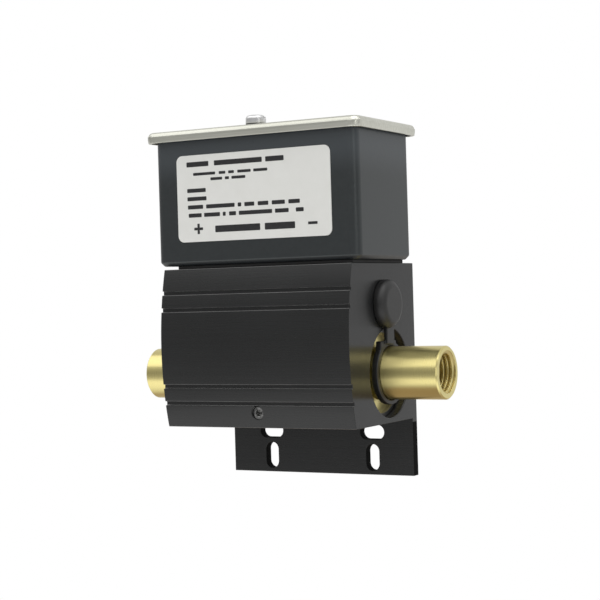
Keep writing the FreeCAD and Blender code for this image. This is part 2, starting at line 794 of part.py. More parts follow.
# Folded carrier that hangs from the body's top face and holds the pivot pin in its two cheeks
def make_lever_carrier():
    body = new_body("lever_carrier", "0", "lever_y", "body_top")
    cheek_foot = "pivot_z - body_top - cheek_drop"
    section = new_sketch(body, "section", "YZ_Plane")
    draw_outline(section, [
        ("0 - carrier_side", "0"),
        ("0 - cheek_outer", "0"),
        ("0 - cheek_outer", cheek_foot),
        ("0 - cheek_inner", cheek_foot),
        ("0 - cheek_inner", "0"),
        ("cheek_inner", "0"),
        ("cheek_inner", cheek_foot),
        ("cheek_outer", cheek_foot),
        ("cheek_outer", "0"),
        ("carrier_side", "0"),
        ("carrier_side", "gasket_thickness"),
        ("0 - carrier_side", "gasket_thickness"),
    ])
    pad(body, section, "carrier_length", symmetric=True)
    eyes = new_sketch(body, "eyes", "XZ_Plane")
    draw_circle(eyes, "0", "pivot_z - body_top", "pin_diameter")
    pocket(body, eyes, "2 * cheek_outer", symmetric=True)
    keep(body)


def make_pivot_pin():
    pin = doc.addObject("Part::Cylinder", "pivot_pin")
    pin.Placement = Placement(Vector(), Rotation(Vector(1, 0, 0), 90))
    bind(pin, {
        "Radius": "pin_diameter / 2",
        "Height": "2 * cheek_outer",
        "Placement.Base.y": "lever_y + cheek_outer",
        "Placement.Base.z": "pivot_z",
    })
    keep(pin)


# Range spring between the lever and its seat
def make_range_spring():
    path = doc.addObject("Part::Helix", "range_spring_path")
    path.Placement = Placement(Vector(), Rotation(Vector(0, 1, 0), 90))
    bind(path, {
        "Radius": "spring_coil_radius",
        "Pitch": "spring_coil_length / spring_turns",
        "Height": "spring_coil_length",
        "Placement.Base.x": "spring_start + spring_wire / 2",
        "Placement.Base.y": "adjuster_y",
        "Placement.Base.z": "adjuster_z",
    })
    wire = doc.addObject("Part::Circle", "range_spring_wire")
    wire.Placement = Placement(Vector(), Rotation(Vector(1, 0, 0), 90))
    bind(wire, {
        "Radius": "spring_wire / 2",
        "Placement.Base.x": "spring_start + spring_wire / 2",
        "Placement.Base.y": "adjuster_y",
        "Placement.Base.z": "adjuster_z - spring_coil_radius",
    })
    doc.recompute()
    spring = doc.addObject("Part::Sweep", "range_spring")
    spring.Sections = [wire]
    spring.Spine = (path, [f"Edge{number}" for number in range(1, len(path.Shape.Edges) + 1)])
    spring.Solid = True
    spring.Frenet = True
    keep(spring)


def make_spring_seat():
    body = new_body("spring_seat", "seat_start", "adjuster_y", "adjuster_z")
    turn(body, "profile", [
        ("0 - seat_pilot_length", "0"),
        ("0 - seat_pilot_length", "pilot_radius"),
        ("0", "pilot_radius"),
        ("0", "seat_radius"),
        ("seat_thickness", "seat_radius"),
        ("seat_thickness", "0"),
    ])
    keep(body)


def make_adjusting_screw():
    body = new_body("adjusting_screw", "adjuster_start", "adjuster_y", "adjuster_z")
    turn(body, "profile", [
        ("0", "0"),
        ("0", "seat_radius - port_edge_chamfer"),
        ("port_edge_chamfer", "seat_radius"),
        ("adjuster_length - port_edge_chamfer", "seat_radius"),
        ("adjuster_length", "seat_radius - port_edge_chamfer"),
        ("adjuster_length", "0"),
    ])
    slotted_head(body, "adjuster_length", "driver_slot_width", "driver_slot_depth", "tunnel_diameter")
    keep(body)


# Rubber plug over the adjuster's tunnel, with a strap down to a ring round the port tube
def make_access_plug():
    body = new_body("access_plug", "0", "port_y", "port_z")
    disc_y = "port_axis_inset - adjuster_inset"
    disc_z = "adjuster_height - port_axis_height"
    disc = new_sketch(body, "disc", "YZ_Plane", "body_end")
    draw_circle(disc, disc_y, disc_z, "plug_diameter")
    face = pad(body, disc, "plug_thickness")
    face_x = value("body_end + plug_thickness")
    round_edges(body, face, lambda edge: abs(edge.CenterOfMass.x - face_x) < 1e-6, "plug_edge_round")

    shank = new_sketch(body, "shank", "YZ_Plane", "body_end")
    draw_circle(shank, disc_y, disc_z, "2 * plug_shank_radius")
    pad(body, shank, "plug_shank_length", backwards=True)

    strap = new_sketch(body, "strap", "YZ_Plane", "strap_back")
    draw_box(strap, "strap_middle - strap_width / 2", "strap_middle + strap_width / 2",
             "tether_inner_radius + tether_width / 4", "strap_top")
    pad(body, strap, "strap_thickness")

    tether = new_sketch(body, "tether", "YZ_Plane", "tether_back")
    draw_circle(tether, "0", "0", "2 * tether_outer_radius")
    pad(body, tether, "tether_thickness")
    shoulder = new_sketch(body, "shoulder", "YZ_Plane", "tether_back")
    draw_box(shoulder, "strap_middle - shoulder_width / 2", "strap_middle + shoulder_width / 2",
             "tether_width", "tether_outer_radius + shoulder_rise")
    pad(body, shoulder, "tether_thickness")
    eye = new_sketch(body, "eye", "YZ_Plane", "tether_back + tether_thickness")
    draw_circle(eye, "0", "0", "2 * tether_inner_radius")
    pocket(body, eye, "tether_thickness")
    keep(body)


def make_base_gasket():
    body = new_body("base_gasket", "0", "housing_middle", "body_top")
    sheet = new_sketch(body, "sheet", "XY_Plane")
    draw_box(sheet, "0 - gasket_end", "gasket_end", "0 - gasket_side", "gasket_side")
    window_y = "lever_y - housing_middle"
    draw_box(sheet, "0 - carrier_length / 2 - gasket_margin", "arm_pocket_end + gasket_margin",
             f"{window_y} - carrier_side - gasket_margin", f"{window_y} + carrier_side + gasket_margin")
    for x, y in housing_screw_places():
        draw_circle(sheet, x, f"{y} - housing_middle", "housing_screw_diameter + 2 * slip_clearance")
    pad(body, sheet, "gasket_thickness")
    keep(body)


# Cast switch housing: an open box with two lid screw bosses and a conduit hole in its left wall
def make_switch_housing():
    body = new_body("switch_housing", "0", "housing_middle", "housing_bottom")
    shell = new_sketch(body, "shell", "XY_Plane")
    draw_box(shell, "0 - housing_end", "housing_end", "0 - housing_depth / 2", "housing_depth / 2")
    block = pad(body, shell, "housing_height")
    upright = Vector(0, 0, 1)
    rounded = round_edges(body, block, lambda edge: runs_along(edge, upright), "housing_corner_round")
    doc.recompute()
    foot = body.newObject("PartDesign::Chamfer", "housing_foot")
    foot.Base = (rounded, edges_where(rounded.Shape, lambda edge: edge.BoundBox.ZMax < 1e-6))
    bind(foot, {"Size": "housing_foot_chamfer"})

    hollow = new_sketch(body, "hollow", "XY_Plane", "housing_height")
    left, right = "0 - inner_end", "inner_end"
    near, far = "0 - inner_side", "inner_side"
    bend = "inner_corner_round"
    draw_outline(hollow, [
        (f"{left} + {bend}", near),
        (f"{right} - {bend}", near),
        (right, f"{near} + {bend}"),
        (right, f"{far} - {bend}"),
        (f"{right} - {bend}", far),
        (f"{left} + {bend}", far),
        (left, f"{far} - {bend}"),
        (left, f"{near} + {bend}"),
    ], {
        1: (f"{right} - {bend}", f"{near} + {bend}"),
        3: (f"{right} - {bend}", f"{far} - {bend}"),
        5: (f"{left} + {bend}", f"{far} - {bend}"),
        7: (f"{left} + {bend}", f"{near} + {bend}"),
    })
    pocket(body, hollow, "housing_height - floor_thickness")

    bosses = new_sketch(body, "bosses", "XY_Plane", "housing_height - lid_boss_height")
    for side in ("0 - lid_screw_reach", "lid_screw_reach"):
        draw_circle(bosses, "0", side, "lid_boss_diameter")
    pad(body, bosses, "lid_boss_height")
    boss_holes = new_sketch(body, "boss_holes", "XY_Plane", "housing_height")
    for side in ("0 - lid_screw_reach", "lid_screw_reach"):
        draw_circle(boss_holes, "0", side, "lid_screw_diameter + 2 * running_clearance")
    pocket(body, boss_holes, "lid_boss_height - floor_thickness / 2")

    floor_holes = new_sketch(body, "floor_holes", "XY_Plane", "floor_thickness")
    draw_circle(floor_holes, "button_arm", "lever_y - housing_middle", "tip_hole_diameter")
    for x, y in housing_screw_places():
        draw_circle(floor_holes, x, f"{y} - housing_middle", "housing_screw_diameter + 2 * slip_clearance")
    pocket(body, floor_holes, "floor_thickness")

    conduit = new_sketch(body, "conduit", "YZ_Plane", "0 - inner_end + housing_wall")
    draw_circle(conduit, "0", "conduit_z - housing_bottom", "conduit_diameter")
    pocket(body, conduit, "3 * housing_wall")
    keep(body)


def make_housing_screws():
    screws = []
    for number, (x, y) in enumerate(housing_screw_places(), start=1):
        on_bracket = "housing_middle -" in y
        seat = "floor_top + bracket_thickness" if on_bracket else "floor_top"
        screws.append(pan_screw(
            f"housing_screw_{number}", (x, y, seat), TO_TOP,
            ("housing_head_diameter", "housing_head_height", "housing_head_height / 2"),
            ("housing_screw_diameter", "housing_screw_length"),
            ("lid_slot_width", "lid_slot_depth")))
    group("housing_screws", screws)


# Snap switch case, with barrier ribs between its screw terminals
def make_switch_case():
    body = new_body("switch_case", "0", "lever_y", "0")
    section = new_sketch(body, "section", "XZ_Plane")
    corners = [
        ("switch_start", "switch_bottom"),
        ("switch_end", "switch_bottom"),
        ("switch_end", "switch_top"),
    ]
    for side in ("+", "-"):
        middle = f"switch_shift {side} terminal_spacing / 2"
        corners += [
            (f"{middle} + barrier_thickness / 2", "switch_top"),
            (f"{middle} + barrier_thickness / 2", "barrier_top"),
            (f"{middle} - barrier_thickness / 2", "barrier_top"),
            (f"{middle} - barrier_thickness / 2", "switch_top"),
        ]
    corners.append(("switch_start", "switch_top"))
    draw_outline(section, corners)
    pad(body, section, "switch_width", symmetric=True)

    mounting = new_sketch(body, "mounting_holes", "XZ_Plane")
    for side in ("-", "+"):
        draw_circle(mounting, f"switch_shift {side} switch_hole_spacing / 2", "switch_hole_z",
                    "switch_screw_diameter + 2 * slip_clearance")
    pocket(body, mounting, "2 * switch_width", symmetric=True)

    plunger_hole = new_sketch(body, "plunger_hole", "XY_Plane", "switch_bottom + plunger_socket_depth")
    draw_circle(plunger_hole, "button_arm", "0", "plunger_diameter + 2 * running_clearance")
    pocket(body, plunger_hole, "plunger_socket_depth")

    screw_holes = new_sketch(body, "terminal_holes", "XY_Plane", "switch_top")
    for x in terminal_places():
        draw_circle(screw_holes, x, "0", "terminal_screw_diameter + 2 * running_clearance")
    pocket(body, screw_holes, "terminal_screw_length")
    keep(body)


def terminal_places():
    """Give the three terminals' places along the switch as formulas."""
    return ["switch_shift - terminal_spacing", "switch_shift", "switch_shift + terminal_spacing"]


def make_switch_plunger():
    body = new_body("switch_plunger", "button_arm", "lever_y", "plunger_bottom", TO_TOP)
    radius = "plunger_diameter / 2"
    turn(body, "profile", [
        ("0", "0"),
        ("0", f"{radius} / 2"),
        (f"{radius} / 2", radius),
        ("plunger_reach + plunger_depth", radius),
        ("plunger_reach + plunger_depth", "0"),
    ])
    keep(body)


def make_terminals():
    plates = []
    screws = []
    for number, x in enumerate(terminal_places(), start=1):
        plate = new_body(f"terminal_{number}", x, "lever_y", "switch_top")
        sheet = new_sketch(plate, "sheet", "XY_Plane")
        draw_box(sheet, "0 - terminal_half", "terminal_half", "0 - terminal_half", "terminal_half")
        draw_circle(sheet, "0", "0", "terminal_screw_diameter + 2 * running_clearance")
        pad(plate, sheet, "terminal_thickness")
        plates.append(plate)
        screws.append(pan_screw(
            f"terminal_screw_{number}", (x, "lever_y", "switch_top + terminal_thickness"), TO_TOP,
            ("terminal_head_diameter", "terminal_head_height", "terminal_head_height / 2"),
            ("terminal_screw_diameter", "terminal_screw_length"),
            ("lid_slot_width", "lid_slot_depth")))
    group("switch_terminals", plates)
    group("terminal_screws", screws)


# Angle bracket: its foot lies under the two front housing screws and its web carries the switch
def make_switch_bracket():
    body = new_body("switch_bracket")
    foot = new_sketch(body, "foot", "XY_Plane", "floor_top")
    draw_box(foot, "0 - bracket_foot_half", "bracket_foot_half",
             "switch_front - bracket_foot_depth", "switch_front")
    for x, y in housing_screw_places():
        if "housing_middle -" in y:
            draw_circle(foot, x, y, "housing_screw_diameter + 2 * slip_clearance")
    pad(body, foot, "bracket_thickness")
    web = new_sketch(body, "web", "XZ_Plane", "0 - switch_front")
    draw_box(web, "switch_shift - bracket_half", "switch_shift + bracket_half", "floor_top", "bracket_top")
    for side in ("-", "+"):
        draw_circle(web, f"switch_shift {side} switch_hole_spacing / 2", "switch_hole_z",
                    "switch_screw_diameter + 2 * running_clearance")
    pad(body, web, "bracket_thickness")
    keep(body)


def make_switch_screws():
    screws = []
    for number, side in enumerate(("-", "+"), start=1):
        place = (f"switch_shift {side} switch_hole_spacing / 2", "switch_back", "switch_hole_z")
        screws.append(pan_screw(
            f"switch_screw_{number}", place, TO_BACK,
            ("switch_head_diameter", "switch_head_height", "switch_head_height / 2"),
            ("switch_screw_diameter", "switch_width + bracket_thickness + switch_screw_tail"),
            ("lid_slot_width", "lid_slot_depth")))
    group("switch_screws", screws)


def make_lid_gasket():
    body = new_body("lid_gasket", "0", "housing_middle", "housing_top")
    sheet = new_sketch(body, "sheet", "XY_Plane")
    end = "housing_end - lid_gasket_margin"
    side = "housing_depth / 2 - lid_gasket_margin"
    draw_box(sheet, f"0 - ({end})", end, f"0 - ({side})", side)
    inner_end = "housing_end - lid_gasket_band"
    inner_side = "housing_depth / 2 - lid_gasket_band"
    draw_box(sheet, f"0 - ({inner_end})", inner_end, f"0 - ({inner_side})", inner_side)
    for reach in ("0 - lid_screw_reach", "lid_screw_reach"):
        draw_circle(sheet, "0", reach, "lid_screw_diameter + 2 * slip_clearance")
    pad(body, sheet, "lid_gasket_thickness")
    keep(body)


# Pressed lid: a shallow pan with rounded corners and a rolled top edge
def make_lid():
    body = new_body("lid", "0", "housing_middle", "lid_bottom")
    outline = new_sketch(body, "outline", "XY_Plane")
    draw_box(outline, "0 - lid_width / 2", "lid_width / 2", "0 - lid_depth / 2", "lid_depth / 2")
    block = pad(body, outline, "lid_height")
    upright = Vector(0, 0, 1)
    cornered = round_edges(body, block, lambda edge: runs_along(edge, upright), "lid_corner_round")
    doc.recompute()
    top = value("lid_height")
    rolled = round_edges(body, cornered, lambda edge: edge.BoundBox.ZMin > top - 1e-6, "lid_edge_round")
    doc.recompute()
    underside = [f"Face{number}" for number, face in enumerate(rolled.Shape.Faces, start=1)
                 if face.BoundBox.ZMax < 1e-6]
    pan = body.newObject("PartDesign::Thickness", "lid_pan")
    pan.Base = (rolled, underside)
    pan.Reversed = True
    bind(pan, {"Value": "lid_sheet"})
    holes = new_sketch(body, "screw_holes", "XY_Plane", "lid_height")
    for reach in ("0 - lid_screw_reach", "lid_screw_reach"):
        draw_circle(holes, "0", reach, "lid_screw_diameter + 2 * slip_clearance")
    pocket(body, holes, "2 * lid_sheet")
    keep(body)


def make_lid_screws():
    screws = []
    washers = []
    for name, side in (("front", "-"), ("back", "+")):
        place = ("0", f"housing_middle {side} lid_screw_reach")
        screws.append(pan_screw(
            f"lid_screw_{name}", (*place, "lid_top + lid_washer_thickness"), TO_TOP,
            ("lid_head_diameter", "lid_head_height", "lid_head_round"),
            ("lid_screw_diameter", "lid_screw_length"),
            ("lid_slot_width", "lid_slot_depth")))
        washer = new_body(f"lid_washer_{name}", *place, "lid_top")
        ring = new_sketch(washer, "ring", "XY_Plane")
        draw_circle(ring, "0", "0", "lid_head_diameter")
        draw_circle(ring, "0", "0", "lid_screw_diameter + 2 * running_clearance")
        pad(washer, ring, "lid_washer_thickness")
        washers.append(washer)
    group("lid_screws", screws)
    group("lid_washers", washers)


def make_label():
    body = new_body("label", "0", "housing_front", "label_bottom")
    sheet = new_sketch(body, "sheet", "XZ_Plane")
    draw_box(sheet, "0 - label_width / 2", "label_width / 2", "0", "label_height")
    block = pad(body, sheet, "label_thickness")
    through = Vector(0, 1, 0)
    round_edges(body, block, lambda edge: runs_along(edge, through), "label_corner_round")
    keep(body)


make_sensor_body()
make_port("low_port", TO_RIGHT)
make_port("high_port", TO_LEFT)
make_retaining_ring("retaining_ring_low", "port_face")
make_retaining_ring("retaining_ring_high", "0 - port_face - ring_thickness")
make_diaphragm("diaphragm_low", TO_RIGHT)
make_diaphragm("diaphragm_high", TO_LEFT)
make_diaphragm_plate("diaphragm_plate_low", TO_RIGHT)
make_diaphragm_plate("diaphragm_plate_high", TO_LEFT)
make_push_rod()
make_sensing_capsule()
make_set_screw()
make_lever()
make_lever_carrier()
make_pivot_pin()
make_range_spring()
make_spring_seat()
make_adjusting_screw()
make_access_plug()
make_base_gasket()
make_switch_housing()
make_housing_screws()
make_switch_case()
make_switch_plunger()
make_terminals()
make_switch_bracket()
make_switch_screws()
make_lid_gasket()
make_lid()
make_lid_screws()
make_label()

doc.recompute()


def check_document():
    """Stop if a feature failed, a cut took nothing away or a node's shape isn't sound."""
    for item in doc.Objects:
        if "Invalid" in item.State or "Error" in item.State:
            raise RuntimeError(f"{item.Name} failed: {item.State}")
        if item.TypeId == "PartDesign::Pocket":
            if item.BaseFeature.Shape.Volume - item.Shape.Volume < 1e-6:
                raise RuntimeError(f"{item.Name} cuts nothing")
    for node in nodes:
        if node.Shape.isNull() or not node.Shape.isValid():
            raise RuntimeError(f"{node.Label} has no sound shape")


check_document()
os.makedirs("parts", exist_ok=True)
for node in nodes:
    node.Shape.exportStep(f"parts/{node.Label}.step")
    box = node.Shape.BoundBox
    print(f"{node.Label}: {len(node.Shape.Solids)} solid, {node.Shape.Volume:.1f} mm3,"
          f" X {box.XMin:.2f} to {box.XMax:.2f}, Y {box.YMin:.2f} to {box.YMax:.2f},"
          f" Z {box.ZMin:.2f} to {box.ZMax:.2f}")
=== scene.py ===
# %% [markdown]
# # A differential pressure switch, dressed for a studio photograph
# The switch is a black box on a black extruded body, with a brass pipe port at each end.
# A CAD frame already holds every piece at its real size. This lesson gives the pieces their
# softened edges, their threads, their print and their finishes, and then lights them.
# All lengths are in metres, and +X runs to the low pressure side, -Y to the reader and +Z up.

# %% Load the frame
import json
import math

import bmesh
import bpy
from mathutils import Matrix, Vector


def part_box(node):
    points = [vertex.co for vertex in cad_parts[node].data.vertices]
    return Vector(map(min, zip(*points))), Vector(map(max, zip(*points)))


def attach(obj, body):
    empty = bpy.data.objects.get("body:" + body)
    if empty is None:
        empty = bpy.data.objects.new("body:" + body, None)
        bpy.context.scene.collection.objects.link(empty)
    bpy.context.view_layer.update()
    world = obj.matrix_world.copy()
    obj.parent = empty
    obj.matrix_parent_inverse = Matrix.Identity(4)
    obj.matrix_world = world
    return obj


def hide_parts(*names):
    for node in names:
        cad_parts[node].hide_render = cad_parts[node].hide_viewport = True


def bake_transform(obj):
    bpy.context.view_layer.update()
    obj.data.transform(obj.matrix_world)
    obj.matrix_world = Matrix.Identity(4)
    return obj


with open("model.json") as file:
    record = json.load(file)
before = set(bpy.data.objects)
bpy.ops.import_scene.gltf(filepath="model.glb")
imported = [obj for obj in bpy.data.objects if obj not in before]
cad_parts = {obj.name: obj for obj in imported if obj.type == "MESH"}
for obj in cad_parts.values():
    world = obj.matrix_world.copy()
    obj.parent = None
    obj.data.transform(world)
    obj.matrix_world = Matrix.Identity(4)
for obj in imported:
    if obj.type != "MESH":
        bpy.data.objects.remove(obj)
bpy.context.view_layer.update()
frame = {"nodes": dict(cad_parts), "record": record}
MM = 0.001
print("pieces in the frame:", len(frame["nodes"]))

# %% [markdown]
# ## The camera
# The photograph was taken from the right, level with the switch, through a long lens.
# A camera fitted to the straight edges of the picture gives its place, its turn to the side,
# a hair of tilt and a slight roll. The three directions below are the camera's own axes,
# so they make the columns of its rotation matrix. That keeps the roll, which aiming it
# with a tracking constraint would lose.

# %% Camera
YAW = math.radians(28.92)
PITCH = math.radians(0.20)
ROLL = math.radians(-1.69)
EYE = Vector((235.48, -440.67, 43.59)) * MM
SWITCH_MIDDLE = Vector((0, -0.02, 0.042))
LENS = 93.84
SENSOR_WIDTH = 36
NEAR_CLIP = 0.01

backward = Vector((math.sin(YAW) * math.cos(PITCH), -math.cos(YAW) * math.cos(PITCH), math.sin(PITCH)))
level_right = Vector((math.cos(YAW), math.sin(YAW), 0))
level_up = backward.cross(level_right)
right = level_right * math.cos(ROLL) + level_up * math.sin(ROLL)
upward = level_up * math.cos(ROLL) - level_right * math.sin(ROLL)
turn = Matrix((right, upward, backward)).transposed()

camera_data = bpy.data.cameras.new("photo_camera")
camera_data.lens = LENS
camera_data.sensor_width = SENSOR_WIDTH
camera_data.clip_start = NEAR_CLIP
camera = bpy.data.objects.new("photo_camera", camera_data)
camera.matrix_world = Matrix.Translation(EYE) @ turn.to_4x4()
bpy.context.scene.collection.objects.link(camera)
bpy.context.scene.camera = camera
print("camera stands", round((EYE - SWITCH_MIDDLE).length, 3), "m from the switch")

# %% [markdown]
# ## The studio
# Polished brass is a map of the room, so the bands along the port tell how the studio looked.
# Behind the switch is the white of the picture. In front of it the room is dim at eye level,
# where a photographer hangs dark cards round shiny metal, with a lit sheet of card below. The
# world paints that room by height, once for the front and once for the back, for the rays that
# reflections send out. Rays straight from the camera see plain white, and the light that falls
# on dull surfaces is one even grey. The soft boxes are real lamps and come later.

# %% Node helpers


def add_node(tree, kind, place=(0, 0), **settings):
    """Put a node in a tree and set its properties."""
    node = tree.nodes.new(kind)
    node.location = place
    for name, setting in settings.items():
        setattr(node, name, setting)
    return node


def fill_ramp(node, stops):
    """Give a colour ramp its stops: pairs of a position and a grey level or a colour."""
    ramp = node.color_ramp
    while len(ramp.elements) < len(stops):
        ramp.elements.new(1.0)
    for element, (position, level) in zip(ramp.elements, stops):
        element.position = position
        element.color = (*level, 1) if isinstance(level, tuple) else (level, level, level, 1)


def by_elevation(stops):
    """Turn stops given in degrees above the horizon into ramp positions."""
    return [((math.sin(math.radians(angle)) + 1) / 2, level) for angle, level in stops]


def add_looking(tree, place):
    """Tell the rays that look at a thing, by camera, mirror or glass, from those that light it."""
    rays = add_node(tree, "ShaderNodeLightPath", place)
    either = add_node(tree, "ShaderNodeMath", (place[0] + 200, place[1]), operation="MAXIMUM")
    tree.links.new(rays.outputs["Is Camera Ray"], either.inputs[0])
    tree.links.new(rays.outputs["Is Glossy Ray"], either.inputs[1])
    looking = add_node(tree, "ShaderNodeMath", (place[0] + 400, place[1]), operation="MAXIMUM")
    tree.links.new(either.outputs[0], looking.inputs[0])
    tree.links.new(rays.outputs["Is Transmission Ray"], looking.inputs[1])
    return rays, looking


# %% World
BROWN = (0.30, 0.21, 0.15)
FRONT = [
    (-90, BROWN), (-59, BROWN), (-49, 0.66), (-42, 1.15), (-26, 1.25), (-18, 0.62), (-10, 0.42), (-3, 0.36),
    (5, 0.30), (12, 0.38), (20, 0.46), (30, 0.52), (42, 0.62), (54, 0.60), (68, 0.52), (90, 0.46),
]
BACK = [
    (-90, BROWN), (-42, (0.46, 0.39, 0.33)), (-22, 0.66), (-8, 0.69), (35, 0.69), (60, 0.58), (90, 0.50),
]
BACK_STARTS = -0.1
BACK_FULL = 0.6
EVEN_LIGHT = (0.57, 0.57, 0.57, 1)
WHITE = (1, 1, 1, 1)

bpy.context.scene.view_settings.view_transform = "Standard"
world = bpy.data.worlds.new("studio")
bpy.context.scene.world = world
world.use_nodes = True
tree = world.node_tree
tree.nodes.clear()
direction = add_node(tree, "ShaderNodeTexCoord", (-1000, 0))
axes = add_node(tree, "ShaderNodeSeparateXYZ", (-800, 0))
tree.links.new(direction.outputs["Generated"], axes.inputs[0])
height = add_node(tree, "ShaderNodeMapRange", (-600, 200))
height.inputs["From Min"].default_value = -1
tree.links.new(axes.outputs["Z"], height.inputs["Value"])
front_wall = add_node(tree, "ShaderNodeValToRGB", (-400, 300))
fill_ramp(front_wall, by_elevation(FRONT))
tree.links.new(height.outputs["Result"], front_wall.inputs["Fac"])
back_wall = add_node(tree, "ShaderNodeValToRGB", (-400, 50))
fill_ramp(back_wall, by_elevation(BACK))
tree.links.new(height.outputs["Result"], back_wall.inputs["Fac"])
backness = add_node(tree, "ShaderNodeMapRange", (-400, -200), interpolation_type="SMOOTHSTEP")
backness.inputs["From Min"].default_value = BACK_STARTS
backness.inputs["From Max"].default_value = BACK_FULL
tree.links.new(axes.outputs["Y"], backness.inputs["Value"])
room = add_node(tree, "ShaderNodeMix", (-100, 100), data_type="RGBA")
tree.links.new(backness.outputs["Result"], room.inputs["Factor"])
tree.links.new(front_wall.outputs["Color"], room.inputs["A"])
tree.links.new(back_wall.outputs["Color"], room.inputs["B"])
rays, looking = add_looking(tree, (-300, 600))
sight = add_node(tree, "ShaderNodeMix", (150, 200), data_type="RGBA")
sight.inputs["A"].default_value = WHITE
tree.links.new(rays.outputs["Is Glossy Ray"], sight.inputs["Factor"])
tree.links.new(room.outputs["Result"], sight.inputs["B"])
seen = add_node(tree, "ShaderNodeMix", (350, 300), data_type="RGBA")
seen.inputs["A"].default_value = EVEN_LIGHT
tree.links.new(looking.outputs[0], seen.inputs["Factor"])
tree.links.new(sight.outputs["Result"], seen.inputs["B"])
background = add_node(tree, "ShaderNodeBackground", (550, 200))
tree.links.new(seen.outputs["Result"], background.inputs["Color"])
world_output = add_node(tree, "ShaderNodeOutputWorld", (750, 200))
tree.links.new(background.outputs["Background"], world_output.inputs["Surface"])
print("world nodes:", len(tree.nodes))

# %% [markdown]
# ## The table
# The table is a pale sheet well below the switch, which hangs on its wall flange. It is white to
# the camera, and near the switch it is partly plain paper, so it keeps a soft shadow there. In a
# reflection it shows painted light: dark brown right under the switch, a painted pool of light on
# card in front, and behind it a warm bench that turns white further off.

# %% Table
TABLE_SIZE = 8
TABLE_HEIGHT = -0.1
# Painted light by distance from the switch: dark brown under it, a painted pool of light from 0.15 to 0.27
# m, dimmer further out.
CARD_PAINTED_LIGHT = [
    (0.0, BROWN), (0.075, BROWN), (0.115, 0.66), (0.15, 1.2),
    (0.27, 1.25), (0.38, 0.66), (0.6, 0.46), (1.0, 0.38),
]
BENCH = [(0.0, BROWN), (0.12, (0.40, 0.31, 0.24)), (0.22, (0.56, 0.50, 0.44)), (0.4, 0.70), (1.0, 0.76)]
BENCH_STARTS = -0.03
BENCH_FULL = 0.04
PAPER = (0.86, 0.86, 0.86, 1)
SHADOW_REACH = 0.12
SHADOW_END = 0.24
SHADOW_WHITENESS = 0.88

bpy.ops.mesh.primitive_plane_add(size=TABLE_SIZE, location=(0, 0, TABLE_HEIGHT))
table = bpy.context.object
table.name = "pale_table"
table_finish = bpy.data.materials.new("pale_table")
table_finish.use_nodes = True
tree = table_finish.node_tree
tree.nodes.clear()
spot = add_node(tree, "ShaderNodeTexCoord", (-1200, 0))
reach = add_node(tree, "ShaderNodeVectorMath", (-1000, 0), operation="LENGTH")
tree.links.new(spot.outputs["Object"], reach.inputs[0])
painted_card_light = add_node(tree, "ShaderNodeValToRGB", (-800, 100))
fill_ramp(painted_card_light, CARD_PAINTED_LIGHT)
tree.links.new(reach.outputs["Value"], painted_card_light.inputs["Fac"])
bench = add_node(tree, "ShaderNodeValToRGB", (-800, -150))
fill_ramp(bench, BENCH)
tree.links.new(reach.outputs["Value"], bench.inputs["Fac"])
spot_axes = add_node(tree, "ShaderNodeSeparateXYZ", (-1000, -400))
tree.links.new(spot.outputs["Object"], spot_axes.inputs[0])
behind = add_node(tree, "ShaderNodeMapRange", (-800, -400), interpolation_type="SMOOTHSTEP")
behind.inputs["From Min"].default_value = BENCH_STARTS
behind.inputs["From Max"].default_value = BENCH_FULL
tree.links.new(spot_axes.outputs["Y"], behind.inputs["Value"])
laid = add_node(tree, "ShaderNodeMix", (-500, -100), data_type="RGBA")
tree.links.new(behind.outputs["Result"], laid.inputs["Factor"])
tree.links.new(painted_card_light.outputs["Color"], laid.inputs["A"])
tree.links.new(bench.outputs["Color"], laid.inputs["B"])
rays, looking = add_looking(tree, (-700, 500))
shown = add_node(tree, "ShaderNodeMix", (-250, 0), data_type="RGBA")
shown.inputs["A"].default_value = WHITE
tree.links.new(rays.outputs["Is Glossy Ray"], shown.inputs["Factor"])
tree.links.new(laid.outputs["Result"], shown.inputs["B"])
glow = add_node(tree, "ShaderNodeEmission", (0, -100))
tree.links.new(shown.outputs["Result"], glow.inputs["Color"])
paper = add_node(tree, "ShaderNodeBsdfDiffuse", (0, 50))
paper.inputs["Color"].default_value = PAPER
whiteness = add_node(tree, "ShaderNodeMapRange", (-500, 250))
whiteness.inputs["From Min"].default_value = SHADOW_REACH
whiteness.inputs["From Max"].default_value = SHADOW_END
whiteness.inputs["To Min"].default_value = SHADOW_WHITENESS
tree.links.new(reach.outputs["Value"], whiteness.inputs["Value"])
share = add_node(tree, "ShaderNodeMath", (0, 300), operation="MULTIPLY")
tree.links.new(whiteness.outputs["Result"], share.inputs[0])
tree.links.new(looking.outputs[0], share.inputs[1])
blend = add_node(tree, "ShaderNodeMixShader", (250, 50))
tree.links.new(share.outputs[0], blend.inputs[0])
tree.links.new(paper.outputs[0], blend.inputs[1])
tree.links.new(glow.outputs[0], blend.inputs[2])
surface = add_node(tree, "ShaderNodeOutputMaterial", (450, 50))
tree.links.new(blend.outputs[0], surface.inputs["Surface"])
table.data.materials.append(table_finish)
print("table at", table.location.z, "m")

# %% [markdown]
# ## The lamps
# The even light alone would leave the label a little grey. A long soft box high at the front left
# adds the rest, and its reflection is the bright band along the brass. A second one, above on the
# right, lights the black end face from above, and the brass mirrors that face along its upper
# side. A small, weak one on the right, level with the switch, picks out the port's rim and the
# lid's corner.

# %% Lamps


def add_softbox(name, place, aim, size, power):
    """Hang a rectangular lamp that points at a spot and stays out of the picture."""
    data = bpy.data.lights.new(name, "AREA")
    data.shape = "RECTANGLE"
    data.size, data.size_y = size
    data.energy = power
    lamp = bpy.data.objects.new(name, data)
    lamp.location = place
    lamp.rotation_euler = (Vector(aim) - Vector(place)).to_track_quat("-Z", "Y").to_euler()
    lamp.visible_camera = False
    bpy.context.scene.collection.objects.link(lamp)
    return lamp


